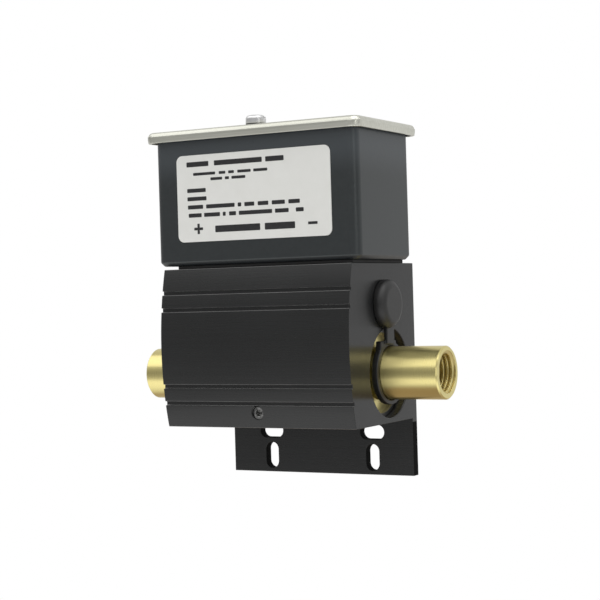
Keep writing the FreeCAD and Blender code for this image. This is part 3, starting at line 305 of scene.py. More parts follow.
MIDDLE = (0, -0.02, 0.045)
add_softbox("front_left_box", (-0.34, -0.581, 0.80), MIDDLE, (2.2, 0.85), 4.6)
add_softbox("side_box", (0.83, -0.46, 0.08), MIDDLE, (0.16, 0.5), 0.4)
add_softbox("top_right_box", (0.42, -0.2, 0.92), MIDDLE, (0.7, 0.9), 3.0)

# %% [markdown]
# ## Shared effects
# Several finishes need the same things: a slow unevenness, and fine lines in one direction, such
# as those that an extrusion die, a lathe tool or a polishing belt leaves. Each one is a node
# group with named sockets, built once here and placed in every finish with its own values.

# %% Node groups


def new_group(name, inputs, outputs):
    """Start a shader node group with float or vector inputs and named float outputs."""
    group = bpy.data.node_groups.new(name, "ShaderNodeTree")
    for label, default in inputs.items():
        kind = "NodeSocketVector" if isinstance(default, tuple) else "NodeSocketFloat"
        socket = group.interface.new_socket(label, in_out="INPUT", socket_type=kind)
        socket.default_value = default
    for label in outputs:
        group.interface.new_socket(label, in_out="OUTPUT", socket_type="NodeSocketFloat")
    entry = add_node(group, "NodeGroupInput", (-900, 0))
    leave = add_node(group, "NodeGroupOutput", (600, 0))
    return group, entry, leave


def add_contrast(group, entry, leave, noise):
    """Spread a noise about one half by the group's Contrast and send it out."""
    centred = add_node(group, "ShaderNodeMath", (-150, 100), operation="SUBTRACT")
    centred.inputs[1].default_value = 0.5
    group.links.new(noise.outputs["Fac"], centred.inputs[0])
    spread = add_node(group, "ShaderNodeMath", (50, 100), operation="MULTIPLY")
    group.links.new(centred.outputs[0], spread.inputs[0])
    group.links.new(entry.outputs["Contrast"], spread.inputs[1])
    back = add_node(group, "ShaderNodeMath", (250, 100), operation="ADD", use_clamp=True)
    back.inputs[1].default_value = 0.5
    group.links.new(spread.outputs[0], back.inputs[0])
    group.links.new(back.outputs[0], leave.inputs["Value"])


def make_mottle():
    """Slow unevenness with a finer one on top, as a value about one half."""
    group, entry, leave = new_group("mottle", {"Scale": 60.0, "Detail": 3.0, "Contrast": 1.0}, ["Value"])
    place = add_node(group, "ShaderNodeTexCoord", (-900, 250))
    noise = add_node(group, "ShaderNodeTexNoise", (-600, 100))
    group.links.new(place.outputs["Object"], noise.inputs["Vector"])
    group.links.new(entry.outputs["Scale"], noise.inputs["Scale"])
    group.links.new(entry.outputs["Detail"], noise.inputs["Detail"])
    add_contrast(group, entry, leave, noise)
    return group


def make_fine_lines():
    """Fine lines: noise drawn out along one axis by the Stretch of its coordinates."""
    inputs = {"Stretch": (30.0, 3000.0, 3000.0), "Contrast": 1.0}
    group, entry, leave = new_group("fine_lines", inputs, ["Value"])
    place = add_node(group, "ShaderNodeTexCoord", (-900, 250))
    drawn = add_node(group, "ShaderNodeVectorMath", (-650, 150), operation="MULTIPLY")
    group.links.new(place.outputs["Object"], drawn.inputs[0])
    group.links.new(entry.outputs["Stretch"], drawn.inputs[1])
    noise = add_node(group, "ShaderNodeTexNoise", (-400, 150))
    noise.inputs["Scale"].default_value = 1.0
    noise.inputs["Detail"].default_value = 2.0
    group.links.new(drawn.outputs[0], noise.inputs["Vector"])
    add_contrast(group, entry, leave, noise)
    return group


MOTTLE = make_mottle()
FINE_LINES = make_fine_lines()
print("node groups:", [g.name for g in bpy.data.node_groups])

# %% [markdown]
# ## A finish
# Every finish here is one Principled shader. A colour runs between a darker and a lighter tone
# with the mottle, the roughness moves a little with it, and a bump carries the fine texture.
# One function wires that up, so each finish below is a short list of its own numbers. Two options
# serve single finishes. A smear gives the shader a tangent that runs round an axis, because lathe
# rings and saw lines draw a reflection out across themselves and keep it sharp along them. That
# is what makes brass bar look turned. A fade runs the tone into another one between two heights;
# the box uses it for a painted sheen, paler near its top.

# %% Finish helper
BUMP_HEIGHT = 0.00005


def use_group(tree, group, place, **values):
    """Place a node group in a material and set its inputs."""
    node = add_node(tree, "ShaderNodeGroup", place)
    node.node_tree = group
    for label, setting in values.items():
        node.inputs[label].default_value = setting
    return node


def mix_grain(tree, cloud, grain):
    """Lay fine lines over the mottle. Gives the mixed value and the lines by themselves."""
    stretch, contrast, weight = grain
    lines = use_group(tree, FINE_LINES, (-1100, -100), Stretch=stretch, Contrast=contrast)
    centred = add_node(tree, "ShaderNodeMath", (-900, -100), operation="SUBTRACT")
    centred.inputs[1].default_value = 0.5
    tree.links.new(lines.outputs["Value"], centred.inputs[0])
    both = add_node(tree, "ShaderNodeMath", (-700, 50), operation="MULTIPLY_ADD", use_clamp=True)
    both.inputs[1].default_value = weight
    tree.links.new(centred.outputs[0], both.inputs[0])
    tree.links.new(cloud.outputs["Value"], both.inputs[2])
    return both.outputs[0], lines.outputs["Value"]


def paint_sheen_by_height(tree, tone, low, high, colour):
    """Paint a sheen: run a tone into another colour between two heights of the piece."""
    place = add_node(tree, "ShaderNodeTexCoord", (-1100, 700))
    axes = add_node(tree, "ShaderNodeSeparateXYZ", (-900, 700))
    tree.links.new(place.outputs["Object"], axes.inputs[0])
    climb = add_node(tree, "ShaderNodeMapRange", (-700, 700), interpolation_type="SMOOTHSTEP")
    climb.inputs["From Min"].default_value = low
    climb.inputs["From Max"].default_value = high
    tree.links.new(axes.outputs["Z"], climb.inputs["Value"])
    painted_sheen = add_node(tree, "ShaderNodeMix", (-250, 500), data_type="RGBA")
    painted_sheen.inputs["B"].default_value = (*colour, 1)
    tree.links.new(climb.outputs["Result"], painted_sheen.inputs["Factor"])
    tree.links.new(tone.outputs["Result"], painted_sheen.inputs["A"])
    return painted_sheen


def new_finish(name, dark, light, rough, metallic=0.0, mottle=(60.0, 3.0, 1.5), grain=None, bump=0.0,
               smear=None, fade=None, **sockets):
    """Make a finish. rough is the roughness at the mottle's low and high ends.

    mottle is a scale, a detail and a contrast; grain is a stretch, a contrast and a weight; smear is
    an axis, an amount and a rotation; fade, a painted sheen, is a low and a high place and a colour.
    """
    material = bpy.data.materials.new(name)
    material.use_nodes = True
    tree = material.node_tree
    shader = tree.nodes["Principled BSDF"]
    shader.inputs["Metallic"].default_value = metallic
    for label, setting in sockets.items():
        shader.inputs[label.replace("_", " ")].default_value = setting
    cloud = use_group(tree, MOTTLE, (-1100, 200), Scale=mottle[0], Detail=mottle[1], Contrast=mottle[2])
    uneven = relief_source = cloud.outputs["Value"]
    if grain:
        uneven, relief_source = mix_grain(tree, cloud, grain)
    tone = add_node(tree, "ShaderNodeMix", (-500, 300), data_type="RGBA")
    tone.inputs["A"].default_value = (*dark, 1)
    tone.inputs["B"].default_value = (*light, 1)
    tree.links.new(uneven, tone.inputs["Factor"])
    # A fade paints a sheen into the tone by height.
    if fade:
        tone = paint_sheen_by_height(tree, tone, *fade)
    tree.links.new(tone.outputs["Result"], shader.inputs["Base Color"])
    polish = add_node(tree, "ShaderNodeMapRange", (-500, 0))
    polish.inputs["To Min"].default_value = rough[0]
    polish.inputs["To Max"].default_value = rough[1]
    tree.links.new(uneven, polish.inputs["Value"])
    tree.links.new(polish.outputs["Result"], shader.inputs["Roughness"])
    if bump:
        relief = add_node(tree, "ShaderNodeBump", (-300, -250))
        relief.inputs["Strength"].default_value = bump
        relief.inputs["Distance"].default_value = BUMP_HEIGHT
        tree.links.new(relief_source, relief.inputs["Height"])
        tree.links.new(relief.outputs["Normal"], shader.inputs["Normal"])
    if smear:
        axis, amount, rotation = smear
        rings = add_node(tree, "ShaderNodeTangent", (-300, -500), direction_type="RADIAL", axis=axis)
        tree.links.new(rings.outputs["Tangent"], shader.inputs["Tangent"])
        shader.inputs["Anisotropic"].default_value = amount
        shader.inputs["Anisotropic Rotation"].default_value = rotation
    return material


# %% [markdown]
# ## The black finishes
# The body is black anodised aluminium, drawn through a die, so its lines run lengthwise. Its ends
# are cut and then anodised: a cut face is smoother than a drawn one, and the saw's fine upright
# lines smear what it mirrors to the sides. The lips of the front grooves get a lighter, metallic
# finish, a painted highlight along them. The walls of the slots and the flange's ends are dull,
# and darker in colour, a painted shade. The box has a smooth black coat with a blue cast, and a
# painted sheen makes it paler near the lid. The rubber pieces are matt, the plug a little less than
# the gaskets, and the hidden diaphragms and switch case are brown.

# %% Black finishes
ALONG_X = (25.0, 2600.0, 2600.0)
FINISHES = {
    "anodised_black": new_finish(
        "anodised_black", (0.009, 0.0093, 0.0094), (0.015, 0.0155, 0.0155), (0.24, 0.30),
        grain=(ALONG_X, 1.4, 0.6), bump=0.12, mottle=(35.0, 4.0, 1.0)),
    "cut_end_black": new_finish(
        "cut_end_black", (0.011, 0.0115, 0.0118), (0.016, 0.0165, 0.0165), (0.22, 0.28),
        mottle=(700.0, 3.0, 1.2), bump=0.03, smear=("Z", 0.8, 0.0), Specular_IOR_Level=0.40),
    # A lighter, metallic coat on the groove lips: a painted highlight along them.
    "lip_highlight_black": new_finish(
        "lip_highlight_black", (0.10, 0.10, 0.10), (0.22, 0.22, 0.218), (0.26, 0.32), metallic=0.85,
        mottle=(60.0, 2.0, 0.8)),
    # Dull and rough, and darker in colour than the body: painted shade in the slots and on the flange's
    # ends.
    "painted_shade_dull_black": new_finish(
        "painted_shade_dull_black", (0.004, 0.004, 0.004), (0.007, 0.007, 0.007), (0.8, 0.95), mottle=(600.0, 3.0, 1.5),
        Specular_IOR_Level=0.1),
    # The box's fade is a painted sheen that makes it paler near the lid.
    "housing_black": new_finish(
        "housing_black", (0.013, 0.0148, 0.0172), (0.018, 0.0202, 0.0228), (0.33, 0.40),
        mottle=(900.0, 2.0, 1.2), bump=0.10, fade=(0.077, 0.087, (0.040, 0.045, 0.052)),
        Specular_IOR_Level=0.74, Specular_Tint=(0.93, 1.0, 0.975, 1)),
    "screw_black": new_finish(
        "screw_black", (0.08, 0.08, 0.078), (0.52, 0.52, 0.51), (0.18, 0.28), metallic=1.0,
        mottle=(1500.0, 3.0, 2.4)),
    "rubber_black": new_finish(
        "rubber_black", (0.010, 0.010, 0.010), (0.018, 0.018, 0.018), (0.65, 0.85), mottle=(800.0, 3.0, 1.5),
        bump=0.3),
    "rubber_grey": new_finish(
        "rubber_grey", (0.006, 0.006, 0.006), (0.010, 0.010, 0.010), (0.44, 0.52), mottle=(1100.0, 3.0, 1.4),
        bump=0.2, Specular_IOR_Level=0.7),
    "diaphragm": new_finish(
        "diaphragm", (0.030, 0.020, 0.014), (0.055, 0.036, 0.026), (0.55, 0.75),
        mottle=(500.0, 3.0, 1.5), bump=0.3),
    "switch_case": new_finish(
        "switch_case", (0.028, 0.018, 0.013), (0.045, 0.030, 0.022), (0.40, 0.55),
        mottle=(700.0, 3.0, 1.5), bump=0.2),
    "print_black": new_finish(
        "print_black", (0.010, 0.010, 0.011), (0.022, 0.022, 0.024), (0.45, 0.6), mottle=(900.0, 3.0, 1.5)),
}
print("black finishes:", len(FINISHES))

# %% [markdown]
# ## The bright finishes
# The brass is turned on a lathe, which leaves rings round its axis, and the tap leaves the thread
# inside rougher. The lid is pressed from satin sheet and its grain runs along the box. Screws and
# springs are steel of several kinds, and the label is a satin film of an off-white that leans to
# yellow. The switch's small red plunger is plastic.

# %% Bright finishes
ROUND_X = (5200.0, 6.0, 6.0)
FINISHES.update({
    "brass": new_finish(
        "brass", (0.77, 0.67, 0.28), (0.87, 0.76, 0.34), (0.255, 0.305), metallic=1.0,
        grain=(ROUND_X, 1.2, 0.5), bump=0.02, mottle=(45.0, 3.0, 0.8), smear=("X", 0.45, 0.25)),
    "tapped_brass": new_finish(
        "tapped_brass", (0.72, 0.61, 0.27), (0.86, 0.74, 0.34), (0.34, 0.44), metallic=1.0,
        mottle=(120.0, 3.0, 1.2)),
    "lid_steel": new_finish(
        "lid_steel", (0.63, 0.63, 0.55), (0.83, 0.83, 0.75), (0.32, 0.40), metallic=1.0,
        grain=((8.0, 1800.0, 900.0), 1.6, 0.9), bump=0.05, mottle=(25.0, 3.0, 1.0)),
    "screw_bright": new_finish(
        "screw_bright", (0.78, 0.78, 0.78), (0.88, 0.88, 0.88), (0.34, 0.42), metallic=1.0,
        mottle=(300.0, 2.0, 1.2)),
    "steel": new_finish(
        "steel", (0.46, 0.46, 0.45), (0.62, 0.61, 0.58), (0.28, 0.40), metallic=1.0,
        mottle=(160.0, 3.0, 1.6)),
    "spring_steel": new_finish(
        "spring_steel", (0.13, 0.13, 0.13), (0.22, 0.22, 0.22), (0.30, 0.42), metallic=1.0,
        mottle=(300.0, 3.0, 1.5)),
    "capsule": new_finish(
        "capsule", (0.55, 0.56, 0.57), (0.72, 0.73, 0.74), (0.25, 0.38), metallic=1.0,
        grain=(ROUND_X, 1.4, 0.6), bump=0.05, smear=("X", 0.85, 0.25)),
    "switch_plunger": new_finish(
        "switch_plunger", (0.34, 0.02, 0.015), (0.42, 0.03, 0.02), (0.35, 0.5), mottle=(700.0, 2.0, 1.5)),
    "label": new_finish(
        "label", (0.73, 0.73, 0.695), (0.78, 0.78, 0.75), (0.38, 0.48), mottle=(220.0, 3.0, 1.2)),
})
print("finishes:", len(FINISHES))

# %% [markdown]
# ## Dressing the CAD pieces
# A CAD solid has knife edges, and a knife edge catches no light. Real edges are broken by a
# tenth or two of a millimetre, and that thin line of light is most of what makes metal look
# like metal. So each visible piece is a copy of its CAD mesh with the flat triangles joined
# into whole faces and a bevel along every sharp edge. Weighted normals then keep the large
# faces flat, so that the bevel doesn't bend the shading across them. Two rubber pieces also move
# a little, as in the photograph: the base gasket has slipped to one side, and the ring that holds
# the plug to the port is thicker, most of all in front.

# %% Softened copies
BODY_OF = {node: body for body, nodes in frame["record"]["behaviour"]["bodies"].items() for node in nodes}
SLOT_OF = {row["node"]: row["material_slot"] for row in frame["record"]["subparts"]}
SAME_PLACE = 1e-7
FLAT_ANGLE = math.radians(0.3)
SHARP_ANGLE = math.radians(30)
EDGE_SEGMENTS = 2
FACE_WEIGHT = 50


def seat_piece(piece, node, *finishes):
    """Attach a new piece to the body of a CAD node, with the finish of the node's slot or the ones given."""
    slot = SLOT_OF[node]
    for finish in finishes or (slot,):
        piece.data.materials.append(FINISHES[finish])
    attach(piece, BODY_OF[node])


def add_piece(name, shape):
    """Turn a bmesh into an object of the scene."""
    mesh = bpy.data.meshes.new(name)
    shape.to_mesh(mesh)
    shape.free()
    piece = bpy.data.objects.new(name, mesh)
    bpy.context.scene.collection.objects.link(piece)
    return piece


def joined_shape(node):
    """A bmesh of a node with its flat triangles joined into whole faces."""
    shape = bmesh.new()
    shape.from_mesh(frame["nodes"][node].data)
    bmesh.ops.remove_doubles(shape, verts=shape.verts, dist=SAME_PLACE)
    bmesh.ops.dissolve_limit(shape, angle_limit=FLAT_ANGLE, verts=shape.verts, edges=shape.edges)
    for face in shape.faces:
        face.smooth = True
        face.material_index = 0
    return shape


def soften(node, shape, width, finishes=()):
    """Make a piece of a shape with its sharp edges broken by width, in place of its node."""
    piece = add_piece(node + "_dressed", shape)
    bevel = piece.modifiers.new("broken_edges", "BEVEL")
    bevel.width = width
    bevel.segments = EDGE_SEGMENTS
    bevel.limit_method = "ANGLE"
    bevel.angle_limit = SHARP_ANGLE
    bevel.use_clamp_overlap = False
    flats = piece.modifiers.new("flat_faces", "WEIGHTED_NORMAL")
    flats.weight = FACE_WEIGHT
    flats.keep_sharp = False
    seat_piece(piece, node, *finishes)
    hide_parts(node)
    return piece


port_low, port_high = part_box("low_port")
PORT_Y = (port_low.y + port_high.y) / 2
PORT_Z = (port_low.z + port_high.z) / 2
TETHER_RADIUS = 9.34 * MM
TETHER_NEAR = 0.05 * MM
TETHER_SWELL = 0.6 * MM
LEAST_SWELL = 0.25
PLUG_EDGE = 0.3 * MM
GASKET_ENDS = 27 * MM
GASKET_SLIP = 2.0 * MM
GASKET_EDGE = 0.2 * MM
EDGE_WIDTHS = {
    "switch_housing": 0.3,
    "lid_screws": 0.12,
    "retaining_ring_low": 0.1,
    "retaining_ring_high": 0.1,
    "set_screw": 0.08,
    "switch_case": 0.2,
    "switch_bracket": 0.15,
    "housing_screws": 0.1,
    "terminal_screws": 0.1,
    "switch_screws": 0.1,
    "switch_terminals": 0.08,
}
for node, width in EDGE_WIDTHS.items():
    soften(node, joined_shape(node), width * MM)
gasket_shape = joined_shape("base_gasket")
for point in gasket_shape.verts:
    if abs(point.co.x) > GASKET_ENDS:
        point.co.x += GASKET_SLIP
soften("base_gasket", gasket_shape, GASKET_EDGE)
plug_shape = joined_shape("access_plug")
for point in plug_shape.verts:
    outward = Vector((0, point.co.y - PORT_Y, point.co.z - PORT_Z))
    if abs(outward.length - TETHER_RADIUS) < TETHER_NEAR:
        toward = outward.normalized()
        point.co += toward * TETHER_SWELL * max(LEAST_SWELL, -toward.y)
soften("access_plug", plug_shape, PLUG_EDGE)
for name, piece in frame["nodes"].items():
    piece.data.materials.clear()
    piece.data.materials.append(FINISHES[SLOT_OF[name]])

# %% [markdown]
# ## The lid's rim
# The lid is drawn from sheet in a press, and its sides are never quite flat: the sheet springs
# back, and the rim bows out by a fifth of a millimetre. That can't be seen in the outline, but
# it bends what the steel reflects, from the lamps at the rim's upper edge to the pale card at its
# foot. So the rim's outer faces are cut into level strips, and their points move out on a parabola.

# %% Lid
RIM_STRIPS = 6
RIM_BULGE = 0.22 * MM
RIM_UPRIGHT = 0.05
RIM_OUTWARD = 0.2
LID_EDGE = 0.1 * MM
lid_low, lid_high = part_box("lid")
lid_middle = (lid_low + lid_high) / 2


def rim_faces(shape):
    """The upright faces round the outside of the lid."""
    faces = []
    for face in shape.faces:
        away = face.calc_center_median() - lid_middle
        away.z = 0
        if abs(face.normal.z) < RIM_UPRIGHT and face.normal.dot(away.normalized()) > RIM_OUTWARD:
            faces.append(face)
    return faces


def bow_rim(shape):
    """Bow the lid's rim outward, most at half its height."""
    heights = [point.co.z for face in rim_faces(shape) for point in face.verts]
    foot, top = min(heights), max(heights)
    for strip in range(1, RIM_STRIPS):
        rim = rim_faces(shape)
        parts = list({e for f in rim for e in f.edges}) + list({v for f in rim for v in f.verts})
        level = foot + (top - foot) * strip / RIM_STRIPS
        bmesh.ops.bisect_plane(shape, geom=rim + parts, plane_co=(0, 0, level), plane_no=(0, 0, 1))
    rim = set(rim_faces(shape))
    moves = {}
    for point in {v for f in rim for v in f.verts}:
        outward = sum((f.normal for f in point.link_faces if f in rim), Vector())
        outward.z = 0
        share = 2 * (point.co.z - foot) / (top - foot) - 1
        moves[point] = outward.normalized() * RIM_BULGE * max(0.0, 1 - share * share)
    for point, move in moves.items():
        point.co += move
    print("lid rim faces:", len(rim), "height:", round((top - foot) / MM, 2), "mm")


lid_shape = joined_shape("lid")
bow_rim(lid_shape)
soften("lid", lid_shape, LID_EDGE)

# %% [markdown]
# ## The sensor body
# The body needs more than one finish. Its drawn faces, its cut ends and the dull walls of its
# slots are told apart by where a face lies and which way it looks; the slots' walls and the
# flange's ends are darker in colour, a painted shade. The mouths of the two end bores get a small
# chamfer first, as a bench hand would give them. Each end face is then split level at the port's
# axis and at the flange, and its slanting seams are dissolved, so that none shows in the
# reflections. Only the groove lips on the side of the middle panel get the lighter lip finish, a
# painted highlight, and the usual bevel goes along the other edges.

# %% Sensor body
BORE_MOUTH = 13.4 * MM
MOUTH_CHAMFER = 0.25 * MM
FLANGE_SPLIT = 3.4 * MM
FRONT_MIDDLE = 28.4 * MM
LIP_WIDTH = 0.16 * MM
LIP_SEGMENTS = 3
LIP_ANGLE = math.radians(40)
GROOVE_LENGTH = 60 * MM
FRONT_START = -38 * MM
SLOT_SPAN = (12 * MM, 24 * MM)
SLOT_HEIGHTS = (-12.5 * MM, 3 * MM)
FLANGE_FRONT = -3.3 * MM
WALL_FACING = 0.3
END_FACING = 0.98
END_REACH = 0.1 * MM
AT_END = 0.01 * MM
ON_MOUTH = 0.05 * MM
LEVEL = 1e-6
BODY_FINISHES = ("anodised_black", "cut_end_black", "painted_shade_dull_black", "lip_highlight_black")
CUT_END, DULL, LIP = 1, 2, 3


def is_lip(edge):
    """Say whether an edge is the lip of a front groove on the side of the middle panel."""
    low, high = edge.verts
    if abs(low.co.x - high.co.x) < GROOVE_LENGTH or low.co.y > FRONT_START or len(edge.link_faces) != 2:
        return False
    if edge.calc_face_angle(0) < LIP_ANGLE:
        return False
    strip = max(edge.link_faces, key=lambda face: -face.normal.y)
    inward = FRONT_MIDDLE - low.co.z
    return (strip.calc_center_median().z - low.co.z) * inward > 0


def end_faces(shape, end):
    """The flat faces at both ends of the body."""
    faces = []
    for face in shape.faces:
        if abs(face.normal.x) > END_FACING and abs(face.calc_center_median().x) > end - END_REACH:
            faces.append(face)
    return faces


def in_slot(place):
    """Say whether a place lies in one of the flange's slots."""
    across = SLOT_SPAN[0] < abs(place.x) < SLOT_SPAN[1]
    upright = SLOT_HEIGHTS[0] < place.z < SLOT_HEIGHTS[1]
    return across and upright and place.y > FLANGE_FRONT


def dress_sensor_body():
    """Give the body its chamfers and its finishes."""
    shape = joined_shape("sensor_body")
    end = max(v.co.x for v in shape.verts)
    mouths = []
    for edge in shape.edges:
        spans = [math.hypot(v.co.y - PORT_Y, v.co.z - PORT_Z) for v in edge.verts]
        at_end = all(abs(v.co.x) > end - AT_END for v in edge.verts)
        if at_end and all(abs(span - BORE_MOUTH) < ON_MOUTH for span in spans):
            mouths.append(edge)
    bmesh.ops.bevel(shape, geom=mouths, offset=MOUTH_CHAMFER, segments=1, affect="EDGES")
    for height in (PORT_Z, FLANGE_SPLIT):
        ends = end_faces(shape, end)
        rims = list({e for f in ends for e in f.edges}) + list({v for f in ends for v in f.verts})
        bmesh.ops.bisect_plane(shape, geom=ends + rims, plane_co=(0, 0, height), plane_no=(0, 0, 1))
    ends = set(end_faces(shape, end))
    seams = [e for e in shape.edges if ends.issuperset(e.link_faces)]
    seams = [e for e in seams if abs(e.verts[0].co.z - e.verts[1].co.z) > LEVEL]
    bmesh.ops.dissolve_edges(shape, edges=seams, use_verts=True)
    lips = [edge for edge in shape.edges if is_lip(edge)]
    # The lips get the lighter lip finish, a painted highlight.
    bmesh.ops.bevel(
        shape, geom=lips, offset=LIP_WIDTH, segments=LIP_SEGMENTS, profile=0.5, affect="EDGES", material=LIP)
    cut_ends = set(end_faces(shape, end))
    for face in shape.faces:
        face.smooth = True
        middle = face.calc_center_median()
        if face in cut_ends:
            # The flange's part of each end gets the dull finish, whose darker colour is painted shade.
            face.material_index = CUT_END if middle.z > FLANGE_SPLIT else DULL
            face.smooth = False
        # Slot walls get the same dull finish, with its painted shade.
        elif in_slot(middle) and abs(face.normal.y) < WALL_FACING:
            face.material_index = DULL
    print("bore mouth edges:", len(mouths), "groove lips:", len(lips))
    return soften("sensor_body", shape, LIP_WIDTH, BODY_FINISHES)


body_piece = dress_sensor_body()
print("body faces:", len(body_piece.data.polygons))

# %% [markdown]
# ## The pipe ports
# Each port is turned from brass bar and tapped with a tapered pipe thread: 18 turns to the inch,
# each a V ridge that winds into the bore, and the bore narrows by 1 in 16. The CAD solid has a
# plain bore at the thread's outer size. A grid of straight rings would cut across the ridges and
# leave jagged crests, so this grid winds too: each row of points keeps its place on the V and
# moves inward by one pitch per turn. At the mouth a small countersink cuts the crests back while
# the roots run out in the face, and at the far end the thread fades into the plain core. Those are
# limits on the points, and what falls together there is merged.

# %% Threaded ports
PITCH_LENGTH = 25.4 * MM / 18
THREAD_DEPTH = 0.92 * MM
TAPPED_LENGTH = 14.5 * MM
ROOT_RADIUS = 6.6 * MM
CORE_RADIUS = 5.5 * MM
MOUTH_RADIUS = 6.2 * MM
THREAD_START = -1.29
TAPER_A_SIDE = 32
V_SLOPE = 1.3
V_ROOT = 0.12
ROUNDS = 144
ROWS_A_TURN = 16
SPARE_TURNS = 4
FLANGE_THICKNESS = 5.0 * MM
TUBE_RADIUS = 15.875 / 2 * MM
MOUTH_EDGE = 0.4 * MM
BACK_EDGE = 0.1 * MM
FRONT_EDGE = 0.2 * MM
FILLET = 0.4 * MM
FILLET_MIDDLE = 0.1 * MM
CHAMBER_DEPTH = 1.6 * MM
CHAMBER_RADIUS = 10.0 * MM
PASSAGE_RADIUS = 2.5 * MM
DRILLED_LENGTH = 16.0 * MM
DRILL_POINT = 17.9 * MM
IN_FACE = 0.01 * MM
CREASE_ANGLE = math.radians(24)


def port_point(shape, station, step, radius, side):
    """Add a point of a port from its place along the axis, its step round it and its radius."""
    angle = 2 * math.pi * step / ROUNDS
    return shape.verts.new((
        side * station, PORT_Y - side * radius * math.cos(angle), PORT_Z + radius * math.sin(angle)))


def add_turned(shape, profile, side, last=()):
    """Turn a profile of stations and radii round the axis. last adds a ring of uneven radii."""
    rings = []
    for station, radius in profile:
        rings.append([port_point(shape, station, step, radius, side) for step in range(ROUNDS)])
    if last:
        station = profile[-1][0]
        rings.append([port_point(shape, station, step, radius, side) for step, radius in enumerate(last)])
    for first, second in zip(rings, rings[1:]):
        for step in range(ROUNDS):
            after = (step + 1) % ROUNDS
            shape.faces.new((first[step], first[after], second[after], second[step]))


def thread_radius(inside, phase):
    """Radius of the tapped bore at a depth inside the mouth and a place on the V."""
    ridge = 1.0 - abs(2.0 * phase - 1.0)
    depth = THREAD_DEPTH * min(1.0, max(0.0, ridge * V_SLOPE - V_ROOT))
    tapped = ROOT_RADIUS - inside / TAPER_A_SIDE - depth
    fade = min(1.0, max(0.0, (inside - TAPPED_LENGTH + PITCH_LENGTH) / PITCH_LENGTH))
    tapped += (CORE_RADIUS - tapped) * fade
    return max(tapped, MOUTH_RADIUS - inside)


def mouth_radii():
    """Radius of the opening in the mouth's face at each step, where the thread runs out."""
    return [thread_radius(0.0, -(step / ROUNDS + THREAD_START) % 1.0) for step in range(ROUNDS)]


def add_thread(shape, mouth, side):
    """Wind the tapped surface from the mouth down to the core."""
    rows = ROWS_A_TURN * (int(TAPPED_LENGTH / PITCH_LENGTH) + SPARE_TURNS)
    at_mouth = mouth_radii()
    grid = []
    for row in range(rows):
        line = []
        for step in range(ROUNDS):
            inside = (row / ROWS_A_TURN + step / ROUNDS + THREAD_START) * PITCH_LENGTH
            radius = thread_radius(min(TAPPED_LENGTH, inside), row / ROWS_A_TURN % 1.0)
            if inside <= 0:
                inside, radius = 0.0, at_mouth[step]
            line.append(port_point(shape, mouth - min(TAPPED_LENGTH, inside), step, radius, side))
        grid.append(line)
    for row in range(rows - ROWS_A_TURN - 1):
        for step in range(ROUNDS):
            skip, after = (0, step + 1) if step + 1 < ROUNDS else (ROWS_A_TURN, 0)
            shape.faces.new((
                grid[row][step], grid[row + skip][after], grid[row + 1 + skip][after], grid[row + 1][step]))


def make_port(node, side):
    """Build one port with its thread. side is 1 for the right end and -1 for the left."""
    low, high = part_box(node)
    mouth = max(abs(low.x), abs(high.x))
    seat = min(abs(low.x), abs(high.x))
    flange = (high.z - low.z) / 2
    face = seat + FLANGE_THICKNESS
    floor = seat + CHAMBER_DEPTH
    outside = [
        (floor, PASSAGE_RADIUS),
        (floor, CHAMBER_RADIUS),
        (seat, CHAMBER_RADIUS),
        (seat, flange - BACK_EDGE),
        (seat + BACK_EDGE, flange),
        (face - FRONT_EDGE, flange),
        (face, flange - FRONT_EDGE),
        (face, TUBE_RADIUS + FILLET),
        (face + FILLET_MIDDLE, TUBE_RADIUS + FILLET_MIDDLE),
        (face + FILLET, TUBE_RADIUS),
        (mouth - MOUTH_EDGE, TUBE_RADIUS),
        (mouth, TUBE_RADIUS - MOUTH_EDGE),
    ]
    inside = [
        (mouth - TAPPED_LENGTH, CORE_RADIUS),
        (mouth - DRILLED_LENGTH, CORE_RADIUS),
        (mouth - DRILL_POINT, PASSAGE_RADIUS),
        (floor, PASSAGE_RADIUS),
    ]
    shape = bmesh.new()
    add_turned(shape, outside, side, mouth_radii())
    add_thread(shape, mouth, side)
    add_turned(shape, inside, side)
    bmesh.ops.remove_doubles(shape, verts=shape.verts, dist=SAME_PLACE)
    bmesh.ops.dissolve_degenerate(shape, edges=shape.edges, dist=1e-8)
    bmesh.ops.recalc_face_normals(shape, faces=shape.faces)
    for item in shape.faces:
        item.smooth = True
        middle = item.calc_center_median()
        span = math.hypot(middle.y - PORT_Y, middle.z - PORT_Z)
        tapped = span < ROOT_RADIUS and IN_FACE < mouth - side * middle.x < TAPPED_LENGTH
        item.material_index = int(tapped)
    for item in shape.edges:
        in_thread = all(side_face.material_index == 1 for side_face in item.link_faces)
        item.smooth = in_thread or item.calc_face_angle(0) < CREASE_ANGLE
    open_edges = sum(len(item.link_faces) != 2 for item in shape.edges)
    piece = add_piece(node + "_turned", shape)
    seat_piece(piece, node, "brass", "tapped_brass")
    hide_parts(node)
    print(piece.name, "faces:", len(piece.data.polygons), "open edges:", open_edges)


make_port("low_port", 1)
make_port("high_port", -1)

# %% [markdown]
# ## The pieces that give
# Three hidden pieces change shape when the switch works. Each rubber diaphragm is clamped at its
# rim and carried by the push rod at its middle, and the range spring is pressed between the lever
# and its seat. A stiff copy can be cut by its neighbours when they move. Here each one is a smooth
# copy with its finish, fixed where it stands, in place of its CAD node. The spring is cut in two
# lengths at its first coil, and each cut is closed.

# %% Spring and diaphragms
SPRING_CUT = 3.2 * MM


def bend_between(name, node, shape):
    """Make a piece of a shape in place of a node, with the node's finish, fixed where it stands."""
    for edge in shape.edges:
        edge.smooth = edge.calc_face_angle(0) < SHARP_ANGLE
    piece = add_piece(name, shape)
    piece.data.materials.append(FINISHES[SLOT_OF[node]])
    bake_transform(piece)
    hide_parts(node)


